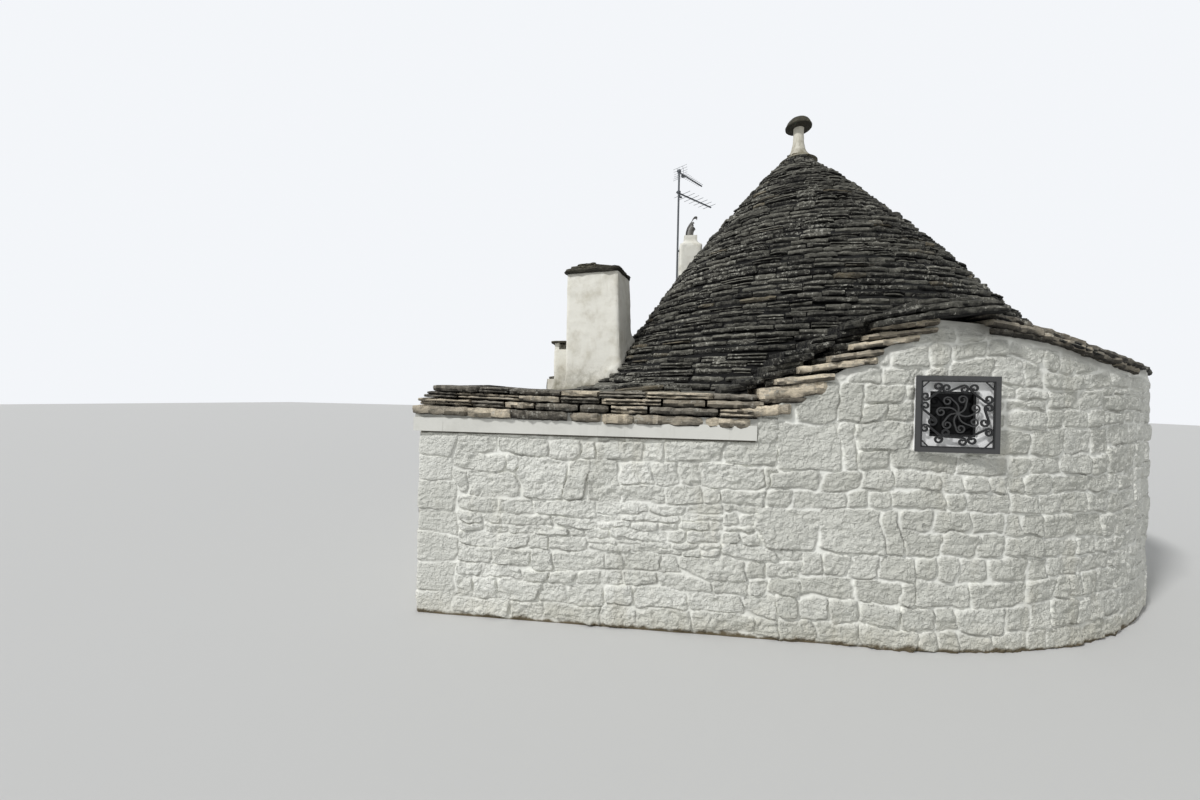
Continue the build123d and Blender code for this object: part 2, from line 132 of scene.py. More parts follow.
def fbm(x: Array, y: Array, seed: int = 0, octaves: int = 3) -> Array:
    """Layered noise, each layer twice as fine and half as strong.

    Args:
        x: First coordinates, in cells.
        y: Second coordinates, in cells.
        seed: Which noise to use.
        octaves: How many layers.

    Returns:
        The layered noise, about -1 to 1.
    """
    total = np.zeros(np.broadcast(x, y).shape)
    for k in range(octaves):
        total += noise(np.asarray(x) * 2 ** k, np.asarray(y) * 2 ** k, seed + 17 * k) * 0.5 ** k
    return total / (2 - 0.5 ** (octaves - 1))


def smoothstep(value: Array) -> Array:
    """Ease a value from 0 to 1."""
    t = np.clip(value, 0, 1)
    return t * t * (3 - 2 * t)


def stacked(s: Array, z: Array, layers: Sequence[tuple[float, float, float, int]]) -> Array:
    """Sum noises that are given as strength, cell along, cell upward and seed."""
    return sum(strength * noise(s / along, z / upward, seed) for strength, along, upward, seed in layers)


def lengths(line: Array) -> Array:
    """Path length at each point of a line."""
    return np.concatenate([[0], np.cumsum(np.linalg.norm(np.diff(line, axis=0), axis=1))])


def sample(at: Array | float, run: Array, line: Array) -> Array:
    """Points of a line at path lengths."""
    return np.stack([np.interp(at, run, column) for column in line.T], -1)


class Slot(Enum):
    """Material slots of the record."""

    STONE_WALL = "whitewashed_stone"
    RENDER = "whitewashed_render"
    ROOF = "grey_roof_slabs"
    TAN = "tan_stone_slabs"
    DARK_STONE = "dark_stone"
    IRON = "black_iron"
    SHEET = "dark_sheet_metal"
    AERIAL = "aerial_metal"


@dataclass
class MeshParts:
    """Gathers points, four-sided faces and point values of one mesh."""

    points: list[Array] = field(default_factory=list)
    quads: list[Array] = field(default_factory=list)
    layers: dict[str, list[Array]] = field(default_factory=dict)
    count: int = 0

    def add(self, points: Array, quads: Array, **values: Array | float) -> None:
        """Add one body.

        Args:
            points: Its points, one row each.
            quads: Its faces as rows of four point numbers.
            **values: Point values by layer name, one number or one for each point.
        """
        self.points.append(np.asarray(points, float))
        self.quads.append(np.asarray(quads, np.int64) + self.count)
        for name, value in values.items():
            spread = np.broadcast_to(np.asarray(value, float), (len(points),))
            self.layers.setdefault(name, []).append(spread)
        self.count += len(points)

    def add_grid(self, points: Array, keep: Array | None = None, closed: bool = False,
                 **values: Array) -> None:
        """Add a sheet given as rows and columns of points.

        Args:
            points: Points as an array of columns, rows and 3.
            keep: Which faces to keep, as columns and rows of faces.
            closed: Whether the last column joins the first.
            **values: Point values by layer name, as columns and rows.
        """
        columns, rows = points.shape[:2]
        numbers = np.arange(columns * rows).reshape(columns, rows)
        if closed:
            numbers = np.vstack([numbers, numbers[:1]])
        quads = np.stack([numbers[:-1, :-1], numbers[1:, :-1], numbers[1:, 1:], numbers[:-1, 1:]], axis=-1)
        quads = quads.reshape(-1, 4) if keep is None else quads[keep]
        flat = {name: np.asarray(value, float).reshape(-1) for name, value in values.items()}
        self.add(points.reshape(-1, 3), quads, **flat)

    def add_loft(self, rings: Array, **values: Array | float) -> None:
        """Add a closed body skinned over rings that have the same even number of points.

        Args:
            rings: Rings, points of each ring, and 3.
            **values: Point values by layer name.
        """
        rows, count = rings.shape[:2]
        numbers = np.arange(rows * count).reshape(rows, count)
        ring = np.concatenate([numbers, numbers[:, :1]], 1)
        quads = np.stack([ring[:-1, :-1], ring[:-1, 1:], ring[1:, 1:], ring[1:, :-1]], -1).reshape(-1, 4)
        fan = np.array([[0, k, k + 1, k + 2] for k in range(1, count - 2, 2)])
        quads = np.concatenate([quads, numbers[0][fan][:, ::-1], numbers[-1][fan]])
        points = rings.reshape(-1, 3)
        a, b, c, d = (points[quads[:, k]] - points.mean(0) for k in range(4))
        volume = (np.cross(a, b) * c).sum() + (np.cross(a, c) * d).sum()
        self.add(points, quads if volume > 0 else quads[:, ::-1], **values)

    def add_bar(self, path: Sequence[Sequence[float]], width: float, depth: float | None = None,
                across: Sequence[float] = (0.0, 1.0, 0.0), sides: int = 8, **values: float) -> None:
        """Add a bar along a line of points.

        Args:
            path: Points of its middle line.
            width: Its size square to the direction across.
            depth: Its size along the direction across, or None for a round bar.
            across: Direction that its depth keeps to.
            sides: Points round the bar, 4 for a flat one.
            **values: Point values by layer name.
        """
        line = np.asarray(path, float)
        ahead = np.gradient(line, axis=0)
        ahead /= np.linalg.norm(ahead, axis=1)[:, None]
        deep = np.asarray(across, float) - (ahead @ np.asarray(across, float))[:, None] * ahead
        deep /= np.linalg.norm(deep, axis=1)[:, None]
        side = np.cross(ahead, deep)
        turn = (np.arange(sides) + 0.5) * FULL_TURN / sides
        reach = 0.5 / math.cos(math.pi / sides)
        rings = line[:, None] + side[:, None] * (np.cos(turn) * width * reach)[None, :, None]
        rings = rings + deep[:, None] * (np.sin(turn) * (depth or width) * reach)[None, :, None]
        self.add_loft(rings, **values)

    def place(self, name: str, material: Material, slot: Slot, *replaced: str, sharp: float = 60.0) -> None:
        """Make the piece, let it ride with the house and report it.

        Args:
            name: Name of the piece.
            material: Its material.
            slot: The record's material slot for it; not used.
            *replaced: CAD nodes that it stands for.
            sharp: Angle in degrees beyond which an edge stays sharp.
        """
        points, quads = np.vstack(self.points), np.vstack(self.quads)
        used = np.zeros(len(points), bool)
        used[quads.reshape(-1)] = True
        quads = (np.cumsum(used) - 1)[quads]
        mesh = bpy.data.meshes.new(name)
        mesh.vertices.add(int(used.sum()))
        mesh.vertices.foreach_set("co", points[used].astype(np.float32).reshape(-1))
        mesh.loops.add(len(quads) * 4)
        mesh.loops.foreach_set("vertex_index", quads.astype(np.int32).reshape(-1))
        mesh.polygons.add(len(quads))
        mesh.polygons.foreach_set("loop_start", np.arange(0, len(quads) * 4, 4, dtype=np.int32))
        mesh.update(calc_edges=True)
        for layer, values in self.layers.items():
            store = mesh.attributes.new(layer, "FLOAT", "POINT")
            store.data.foreach_set("value", np.concatenate(values)[used].astype(np.float32))
        mesh.validate()
        mesh.shade_smooth()
        mesh.set_sharp_from_angle(angle=math.radians(sharp))
        mesh.materials.append(material)
        piece = bpy.data.objects.new(name, mesh)
        bpy.context.collection.objects.link(piece)
        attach(piece, "root")
        if replaced:
            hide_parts(*replaced)
        log.info("%s: %d faces", name, len(mesh.polygons))


class Nodes:
    """Short way to lay out a node tree."""

    def __init__(self, tree: bpy.types.NodeTree) -> None:
        """Keep the tree to be filled."""
        self.tree = tree

    def add(self, kind: str, settings: dict[str, object] | None = None, **inputs: object) -> bpy.types.Node:
        """Add a node, set its options and its sockets.

        Args:
            kind: Node type name without the ShaderNode prefix.
            settings: Node properties by name.
            **inputs: Values or output sockets by socket name, with _ for a space, or i0, i1 for a number.

        Returns:
            The new node.
        """
        node = self.tree.nodes.new(kind if kind.startswith("Node") else "ShaderNode" + kind)
        for name, value in (settings or {}).items():
            setattr(node, name, value)
        for name, value in inputs.items():
            numbered = name[0] == "i" and name[1:].isdigit()
            self.feed(node.inputs[int(name[1:]) if numbered else name.replace("_", " ")], value)
        return node

    def feed(self, socket: Socket, value: object) -> None:
        """Link a socket or set its value.

        Args:
            socket: The input socket.
            value: An output socket, or a plain value.
        """
        if isinstance(value, Socket):
            self.tree.links.new(value, socket)
        else:
            socket.default_value = value

    def math(self, operation: str, *values: object, clamp: bool = False) -> Socket:
        """Add a math node.

        Args:
            operation: The operation's name.
            *values: Numbers or sockets.
            clamp: Whether the result stays in 0 to 1.

        Returns:
            The result socket.
        """
        node = self.add("Math", {"operation": operation, "use_clamp": clamp})
        for socket, value in zip(node.inputs, values):
            self.feed(socket, value)
        return node.outputs[0]

    def times(self, first: object, second: object, clamp: bool = False) -> Socket:
        """Multiply two values."""
        return self.math("MULTIPLY", first, second, clamp=clamp)

    def plus(self, first: object, second: object, clamp: bool = False) -> Socket:
        """Add two values."""
        return self.math("ADD", first, second, clamp=clamp)

    def minus(self, first: object, second: object, clamp: bool = False) -> Socket:
        """Take the second value from the first."""
        return self.math("SUBTRACT", first, second, clamp=clamp)

    def scaled(self, value: object, factor: float, base: object) -> Socket:
        """Multiply a value and add it to a base."""
        return self.math("MULTIPLY_ADD", value, factor, base)

    def mix(self, factor: Socket, first: Socket | Colour, second: Socket | Colour) -> Socket:
        """Mix two colours, each a socket or sRGB of 0 to 255.

        Args:
            factor: Share of the second colour.
            first: First colour.
            second: Second colour.

        Returns:
            The mixed colour's socket.
        """
        node = self.add("Mix", {"data_type": "RGBA"}, i0=factor)
        for number, value in ((6, first), (7, second)):
            self.feed(node.inputs[number], linear(value) if isinstance(value, tuple) else value)
        return node.outputs[2]

    def ramp(self, value: Socket, low: float, high: float) -> Socket:
        """Stretch a value from low to high smoothly to 0 to 1."""
        options = {"interpolation_type": "SMOOTHSTEP", "clamp": True}
        return self.add("MapRange", options, i0=value, From_Min=low, From_Max=high).outputs[0]

    def spot(self) -> Socket:
        """Give the shaded point's place in its object."""
        return self.add("TexCoord").outputs["Object"]

    def upright(self, vector: Socket) -> Socket:
        """Take the upright part of a vector."""
        return self.add("SeparateXYZ", Vector=vector).outputs["Z"]

    def noise(self, scale: Socket | float, detail: float, rough: float,
              stretch: Triple = (1, 1, 1)) -> Socket:
        """Add a noise texture in object metres.

        Args:
            scale: Cells for each metre.
            detail: Number of finer layers.
            rough: Strength of the finer layers.
            stretch: Scale along each axis.

        Returns:
            The noise value's socket.
        """
        spot = self.spot()
        if stretch != (1, 1, 1):
            spot = self.add("Mapping", Vector=spot, Scale=stretch).outputs[0]
        return self.add("TexNoise", Vector=spot, Scale=scale, Detail=detail, Roughness=rough).outputs[0]

    def layer(self, name: str) -> Socket:
        """Read a point value of the mesh."""
        return self.add("Attribute", {"attribute_name": name}).outputs["Fac"]

    def group(self, tree: bpy.types.NodeTree, **inputs: float) -> dict[str, Socket]:
        """Use a shared group with its own values and give its outputs."""
        return self.add("Group", {"node_tree": tree}, **inputs).outputs


class GroupNodes(Nodes):
    """Lays out one shared shader group with named float sockets."""

    def __init__(self, name: str, outputs: Sequence[str], **inputs: float) -> None:
        """Open the group.

        Args:
            name: Name of the group.
            outputs: Names of its outputs.
            **inputs: Its inputs with their usual values.
        """
        super().__init__(bpy.data.node_groups.new(name, "ShaderNodeTree"))
        sockets = self.tree.interface
        for key, value in inputs.items():
            socket = sockets.new_socket(key, in_out="INPUT", socket_type="NodeSocketFloat")
            socket.default_value = value
        for key in outputs:
            sockets.new_socket(key, in_out="OUTPUT", socket_type="NodeSocketFloat")
        self.source = self.add("NodeGroupInput").outputs
        self.sink = self.add("NodeGroupOutput").inputs

    def close(self, **outputs: Socket) -> bpy.types.NodeTree:
        """Feed the outputs and give the group.

        Args:
            **outputs: Sockets by output name.

        Returns:
            The group.
        """
        for key, value in outputs.items():
            self.feed(self.sink[key], value)
        return self.tree


@cache
def stone_grain() -> bpy.types.NodeTree:
    """Fine rough grain with pits, as a height and a mask.

    Returns:
        The group.
    """
    nodes = GroupNodes("stone_grain", ("Height", "Mask"), Scale=60.0, Pits=0.5)
    scale = nodes.source["Scale"]
    fine = nodes.noise(scale, 5, 0.65)
    pits = nodes.add("TexVoronoi", {"feature": "F1"}, Vector=nodes.spot(), Scale=nodes.times(scale, 0.8))
    hole = nodes.ramp(pits.outputs["Distance"], 0.05, 0.45)
    height = nodes.plus(fine, nodes.times(hole, nodes.source["Pits"]))
    return nodes.close(Height=height, Mask=nodes.ramp(fine, 0.42, 0.68))


@cache
def foot_dirt() -> bpy.types.NodeTree:
    """Dirt that rises unevenly from the ground.

    Returns:
        The group.
    """
    nodes = GroupNodes("foot_dirt", ("Mask",), Reach=0.1, Ragged=0.1)
    ragged = nodes.times(nodes.minus(nodes.noise(7, 5, 0.65), 0.5), nodes.source["Ragged"])
    wavy = nodes.plus(nodes.upright(nodes.spot()), nodes.times(ragged, 2.0))
    return nodes.close(Mask=nodes.minus(1.0, nodes.math("DIVIDE", wavy, nodes.source["Reach"]), clamp=True))


@cache
def rain_runs() -> bpy.types.NodeTree:
    """Upright streaks left by rain.

    Returns:
        The group.
    """
    nodes = GroupNodes("rain_runs", ("Mask",), Scale=9.0)
    streak = nodes.noise(nodes.source["Scale"], 4, 0.6, (1, 1, 0.12))
    patch = nodes.noise(1.6, 3, 0.55)
    return nodes.close(Mask=nodes.times(nodes.ramp(streak, 0.48, 0.72), nodes.ramp(patch, 0.42, 0.66)))


@cache
def lichen_spots() -> bpy.types.NodeTree:
    """Round pale lichen spots in patches.

    Returns:
        The group.
    """
    nodes = GroupNodes("lichen_spots", ("Mask",), Scale=22.0, Amount=0.5)
    spots = nodes.noise(nodes.source["Scale"], 6, 0.7)
    edge = nodes.minus(0.78, nodes.times(nodes.source["Amount"], nodes.noise(2.3, 3, 0.6)))
    return nodes.close(Mask=nodes.ramp(nodes.minus(spots, edge), 0.0, 0.09))


class MaterialNodes(Nodes):
    """Lays out one material round its Principled shader."""

    def __init__(self, name: str) -> None:
        """Start the material.

        Args:
            name: Name of the material.
        """
        self.material = bpy.data.materials.new(name)
        self.material.use_nodes = True
        super().__init__(self.material.node_tree)
        self.shader = self.tree.nodes["Principled BSDF"]

    def dress(self, colour: Socket | Colour, rough: Socket | float, gloss: float = 0.5,
              height: Socket | None = None, relief: float = 0.0) -> Material:
        """Feed the shader.

        Args:
            colour: Colour as a socket or as sRGB of 0 to 255.
            rough: Roughness.
            gloss: Strength of the mirror-like share.
            height: Height of the relief, of 0 to 1.
            relief: Depth of the relief in metres.

        Returns:
            The material.
        """
        inputs = self.shader.inputs
        self.feed(inputs["Base Color"], linear(colour) if isinstance(colour, tuple) else colour)
        self.feed(inputs["Roughness"], rough)
        self.feed(inputs["Specular IOR Level"], gloss)
        if height:
            bump = self.add("Bump", Height=height, Distance=relief, Strength=1.0)
            self.feed(inputs["Normal"], bump.outputs["Normal"])
        return self.material


@dataclass(frozen=True)
class Limewash:
    """Thick lime whitewash, matt, dirty at the foot, greyer on bare stone faces."""

    name: str = "limewash"
    white: Colour = (250, 250, 243)
    worn: Colour = (206, 206, 197)
    stain: Colour = (196, 190, 170)
    # colour of the painted shade along stone edges, under the band and under the roof's edges
    shade_colour: Colour = (86, 82, 72)
    dirt: Colour = (104, 94, 74)
    relief: float = 0.019
    grain: float = 55.0
    stained: float = 0.3
    smeared: float = 0.35
    shade_share: float = 0.6
    smear_reach: float = 0.22
    foot_reach: float = 0.045

    def make(self) -> Material:
        """Build the material.

        Returns:
            The material.
        """
        nodes = MaterialNodes(self.name)
        grain = nodes.group(stone_grain(), Scale=self.grain, Pits=0.35)
        stone, tone = nodes.layer("stone"), nodes.layer("tone")
        patches = nodes.ramp(nodes.noise(1.7, 4, 0.6), 0.35, 0.7)
        worn = nodes.plus(nodes.times(stone, tone, clamp=True), nodes.times(patches, 0.25), clamp=True)
        colour = nodes.mix(worn, self.white, self.worn)
        fine = nodes.times(grain["Mask"], nodes.times(stone, 0.45))
        colour = nodes.mix(fine, colour, self.worn)
        runs = nodes.group(rain_runs(), Scale=8.0)["Mask"]
        colour = nodes.mix(nodes.times(runs, self.stained), colour, self.stain)
        smear = nodes.group(foot_dirt(), Reach=self.smear_reach, Ragged=0.25)["Mask"]
        colour = nodes.mix(nodes.times(smear, self.smeared), colour, self.stain)
        # painted shade from the under layer, mixed towards the shade colour
        painted_shade = nodes.times(nodes.layer("under"), self.shade_share, clamp=True)
        colour = nodes.mix(painted_shade, colour, self.shade_colour)
        foot = nodes.group(foot_dirt(), Reach=self.foot_reach, Ragged=0.06)["Mask"]
        colour = nodes.mix(nodes.ramp(foot, 0.15, 0.8), colour, self.dirt)
        split, chisel = (nodes.math("ABSOLUTE", nodes.minus(nodes.noise(*marks), 0.5))
                         for marks in ((15, 4, 0.55, (1, 1, 1.5)), (34, 3, 0.5, (1, 1, 0.8))))
        coarse = nodes.plus(nodes.times(split, -2.6), nodes.times(chisel, -1.2))
        both = nodes.plus(nodes.times(grain["Height"], 0.28), coarse)
        height = nodes.times(both, nodes.scaled(stone, 0.8, 0.2))
        return nodes.dress(colour, nodes.scaled(grain["Mask"], 0.12, 0.82), 0.3, height, self.relief)


@dataclass(frozen=True)
class SlabStone:
    """Split limestone slabs, dark with age, some still tan, with lichen on top and painted shade underneath.
    """

    name: str
    dark: Colour = (8, 7, 7)
    grey: Colour = (134, 132, 122)
    tan: Colour = (150, 138, 114)
    lichen: Colour = (205, 203, 192)
    lichen_amount: float = 0.44
    relief: float = 0.026
    shaded: float = 0.85

    def make(self) -> Material:
        """Build the material.

        Returns:
            The material.
        """
        nodes = MaterialNodes(self.name)
        grain = nodes.group(stone_grain(), Scale=48.0, Pits=0.5)
        tone, warm = nodes.layer("tone"), nodes.layer("warm")
        blotch = nodes.ramp(nodes.noise(24, 5, 0.68), 0.36, 0.66)
        # the tone layer holds each slab's own tone together with painted light and shade across its profile
        share = nodes.plus(nodes.times(tone, 0.6), nodes.times(blotch, 0.4))
        colour = nodes.mix(share, self.dark, self.grey)
        smudge = nodes.ramp(nodes.noise(7.5, 6, 0.7, (1, 1, 2.2)), 0.44, 0.62)
        both = nodes.math("MAXIMUM", nodes.times(smudge, 0.9), nodes.times(blotch, 0.45))
        colour = nodes.mix(nodes.times(warm, nodes.minus(1.12, both), clamp=True), colour, self.tan)
        up = nodes.upright(nodes.add("NewGeometry").outputs["Normal"])
        spots = nodes.group(lichen_spots(), Scale=34.0, Amount=self.lichen_amount)["Mask"]
        shown = nodes.times(spots, nodes.scaled(nodes.ramp(up, 0.2, 0.9), -0.25, 0.8))
        shown = nodes.times(shown, nodes.ramp(tone, -0.55, 0.25))
        colour = nodes.mix(shown, colour, self.lichen)
        # painted shade: faces that turn downwards are darkened
        colour = nodes.mix(nodes.times(nodes.ramp(up, 0.1, -0.6), self.shaded), colour, self.dark)
        height = nodes.plus(nodes.noise(16, 5, 0.65, (1, 1, 4)), nodes.times(grain["Height"], 0.35))
        return nodes.dress(colour, nodes.scaled(spots, 0.1, 0.84), 0.3, height, self.relief)


@dataclass(frozen=True)
class Plaster:
    """Smooth lime render or dressed stone with soft stains, and a growth that fades from low to high."""

    name: str
    clean: Colour = (240, 238, 228)
    stain: Colour = (176, 168, 146)
    growth: Colour = (112, 106, 84)
    stained: float = 0.5
    relief: float = 0.003
    low: float = -10.0
    high: float = -9.0

    def make(self) -> Material:
        """Build the material.

        Returns:
            The material.
        """
        nodes = MaterialNodes(self.name)
        grain = nodes.group(stone_grain(), Scale=70.0, Pits=0.4)
        runs = nodes.group(rain_runs(), Scale=11.0)["Mask"]
        cloud = nodes.ramp(nodes.noise(4.5, 5, 0.62), 0.42, 0.75)
        share = nodes.times(nodes.math("MAXIMUM", runs, cloud), self.stained)
        colour = nodes.mix(share, self.clean, self.stain)
        ragged = nodes.scaled(nodes.noise(12, 5, 0.7), 0.5, nodes.upright(nodes.spot()))
        grown = nodes.times(nodes.ramp(ragged, self.high + 0.25, self.low + 0.25), 0.75)
        colour = nodes.mix(grown, colour, self.growth)
        height = nodes.plus(nodes.noise(18, 4, 0.55), nodes.times(grain["Height"], 0.3))
        return nodes.dress(colour, nodes.scaled(grain["Mask"], 0.15, 0.75), 0.35, height, self.relief)


@dataclass(frozen=True)
class AgedMetal:
    """Painted or bare metal, dulled, with rust or bloom in patches."""

    name: str
    paint: Colour
    worn: Colour
    share: float = 0.3
    metallic: float = 0.0
    rough: float = 0.5
    relief: float = 0.0008

    def make(self) -> Material:
        """Build the material.

        Returns:
            The material.
        """
        nodes = MaterialNodes(self.name)
        patch = nodes.ramp(nodes.noise(28, 6, 0.68), 0.52, 0.74)
        grain = nodes.group(stone_grain(), Scale=220.0, Pits=0.2)
        mask = nodes.times(patch, self.share)
        nodes.feed(nodes.shader.inputs["Metallic"], nodes.scaled(mask, -self.metallic, self.metallic))
        return nodes.dress(nodes.mix(mask, self.paint, self.worn), nodes.scaled(patch, 0.25, self.rough),
                           height=nodes.plus(grain["Height"], patch), relief=self.relief)


@dataclass(frozen=True)
class DarkGlass:
    """Glass in front of an unlit room; its near-black colour is painted shade of the room behind."""

    name: str = "dark_window_glass"
    colour: Colour = (14, 14, 15)
    rough: float = 0.12
    gloss: float = 0.1

    def make(self) -> Material:
        """Build the material."""
        return MaterialNodes(self.name).dress(self.colour, self.rough, self.gloss)


def built(finish: Limewash | SlabStone | Plaster | AgedMetal | DarkGlass) -> Material:
    """Let a finish be built once, when the house's finishes are made."""
    return field(default_factory=finish.make)


@dataclass
class Finishes:
    """All materials of the house, each built once."""

    wall: Material = built(Limewash())
    slab: Material = built(SlabStone("roof_slab_stone"))
    edge_slab: Material = built(SlabStone(
        "eaves_slab_stone", (30, 27, 23), (172, 165, 151), (250, 235, 208), lichen_amount=0.4,
        relief=0.024))
    # near-black: painted shade in the gaps between the slabs
    bed: Material = built(SlabStone(
        "roof_bed_shade", (7, 7, 6), (15, 14, 12), lichen_amount=0.0))
    render: Material = built(Plaster("chimney_render", low=1.75, high=2.15))
    band: Material = built(Plaster(
        "dressed_band", (226, 225, 218), (192, 191, 182), stained=0.4, relief=0.0015))
    panel: Material = built(Plaster(
        "window_panel_render", (254, 254, 253), (236, 235, 231), stained=0.2, relief=0.0015))
    inside: Material = built(Plaster("inside_render", (222, 218, 206), relief=0.006))
    neck: Material = built(Plaster(
        "pinnacle_render", (222, 218, 204), (134, 127, 108), stained=0.8, low=5.2, high=5.44))
    dark_stone: Material = built(SlabStone(
        "dark_cap_stone", (46, 44, 37), (96, 92, 78), lichen=(138, 134, 112), lichen_amount=0.5))
    frame_iron: Material = built(AgedMetal(
        "grille_frame_iron", (66, 66, 66), (46, 43, 40), 0.4, 0.0, 0.45))
    scroll_iron: Material = built(AgedMetal(
        "grille_scroll_iron", (20, 20, 21), (46, 42, 38), 0.4, 0.0, 0.42))
    rosette_iron: Material = built(AgedMetal(
        "grille_rosette_iron", (58, 58, 58), (38, 35, 32), 0.5, 0.0, 0.42))
    glass: Material = built(DarkGlass())
    sheet: Material = built(AgedMetal(
        "cowl_sheet", (112, 110, 106), (44, 40, 36), 0.8, 0.2, 0.5))
    aerial: Material = built(AgedMetal(
        "aerial_tube", (84, 88, 92), (52, 48, 44), 0.7, 0.4, 0.42))


@dataclass
class House:
    """Main lines of the house, read from the frame."""

    def __post_init__(self) -> None:
        """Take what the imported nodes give."""
        self.radius = float(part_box("round_wall_right")[1].x)
        self.left = -float(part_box("front_wall")[0].x)
        self.side_meet = math.sqrt(self.radius ** 2 - self.left ** 2)
        self.rake_start = float(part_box("gable_wall_left")[0].x)
        self.band_foot = float(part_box("front_fascia_band")[0].z)
        self.door_head = float(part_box("doorway_lintel")[0].z)
        self.door = [float(corner.x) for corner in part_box("doorway_threshold")]
        self.axis_x = self.middle("pinnacle_cap")[0]
        self.window_x, _, self.window_z = self.middle("window_panel")

    @staticmethod
    def middle(node: str) -> list[float]:
        """Give the middle of a node's box."""
        return [(a + b) / 2 for a, b in zip(*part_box(node))]


@dataclass
class WallPath:
    """The outline of the walls unrolled: left side, front, then round the house to the left side again."""

    house: House
    corner: float = 0.02

    def __post_init__(self) -> None:
        """Lengths of the runs along the path."""
        self.side = self.house.side_meet + self.house.radius - self.corner
        self.turn = self.corner * math.pi / 2
        self.front = self.house.left - self.corner
        self.arc_end = math.degrees(math.atan2(self.house.side_meet, -self.house.left))

    def at_front(self, x: float) -> float:
        """Path length of a place on the flat front."""
        return self.side + self.turn + self.front + x

    def at_angle(self, degrees: float) -> float:
        """Path length of a direction on the round wall, with -90 at the front."""
        return self.side + self.turn + self.front + self.house.radius * math.radians(degrees + 90)

    def points(self, s: Array) -> tuple[Array, Array]:
        """Places and outward directions.

        Args:
            s: Path lengths, in one row.

        Returns:
            Points and unit normals in plan, two columns each.
        """
        radius, c = self.house.radius, self.corner
        turn = np.clip((s - self.side) / self.turn, 0, 1) * math.pi / 2
        arc = np.maximum(0, (s - self.side - self.turn - self.front) / radius)
        angle = math.pi + turn + arc
        normal = np.stack([np.cos(angle), np.sin(angle)], -1)
        along = np.clip(s - self.side - self.turn, 0, self.front)
        centre = np.stack([c - self.house.left + along, c - radius + np.maximum(0, self.side - s)], -1)
        return np.where((arc > 0)[:, None], radius * normal, centre + c * normal), normal


@dataclass(frozen=True)
class Coursing:
    """How the stones of one stretch of wall are laid."""

    band: Pair
    width: Pair
    rows: Triple
    joint: float
    relief: float
    rough: float


@dataclass(frozen=True)
class Stone:
    """One wall stone on the unrolled wall."""

    start: float
    end: float
    foot: float
    head: float
    joint: float
    relief: float
    rough: float
    twist: Array
    shade: float

    def carve(self, u: Array, v: Array, filled: Array, facet: Array) -> tuple[Array, Array, Array]:
        """Shape the stone at points on it.

        Args:
            u: Path lengths.
            v: Heights.
            filled: How far stones stand out there.
            facet: Marks of the hammer there.

        Returns:
            The share of stone against joint, the stand-out of the stone and the painted shadow at its edges.
        """
        p, a, b, q = self.twist
        du, dv = u - (self.start + self.end) / 2, v - (self.foot + self.head) / 2
        right, top = self.end - u + 0.2 * q * dv, self.head - v + 0.08 * p * du
        ds = np.minimum(u - self.start - 0.24 * a * dv, right)
        dz = np.minimum(v - self.foot - 0.09 * b * du, top)
        bend = 0.03 + 0.012 * q
        corner = bend - np.hypot(np.maximum(0, bend - ds), np.maximum(0, bend - dz))
        edge = np.where((ds < bend) & (dz < bend), corner, np.minimum(ds, dz))
        share = smoothstep((edge - self.joint / 2) / (0.008 + 0.003 * p))
        us, vs = du / (self.end - self.start), dv / (self.head - self.foot)
        face = self.relief * (1 + 0.3 * (1 - 1.6 * (us ** 2 + vs ** 2))) * filled
        face += 0.005 * q + 0.012 * (a * us + b * vs)
        face += 0.0062 * self.rough * facet
        # painted shadow: the dark line is strongest under the lower edge, less on the right, faint above and
        # on the left
        painted_shading = np.where(dz < ds, np.where(dz < top, 1.0, 0.15), np.where(ds < right, 0.2, 0.75))
        return share, face, painted_shading * np.exp(-((edge - self.joint / 2 - 0.001) / 0.008) ** 2)


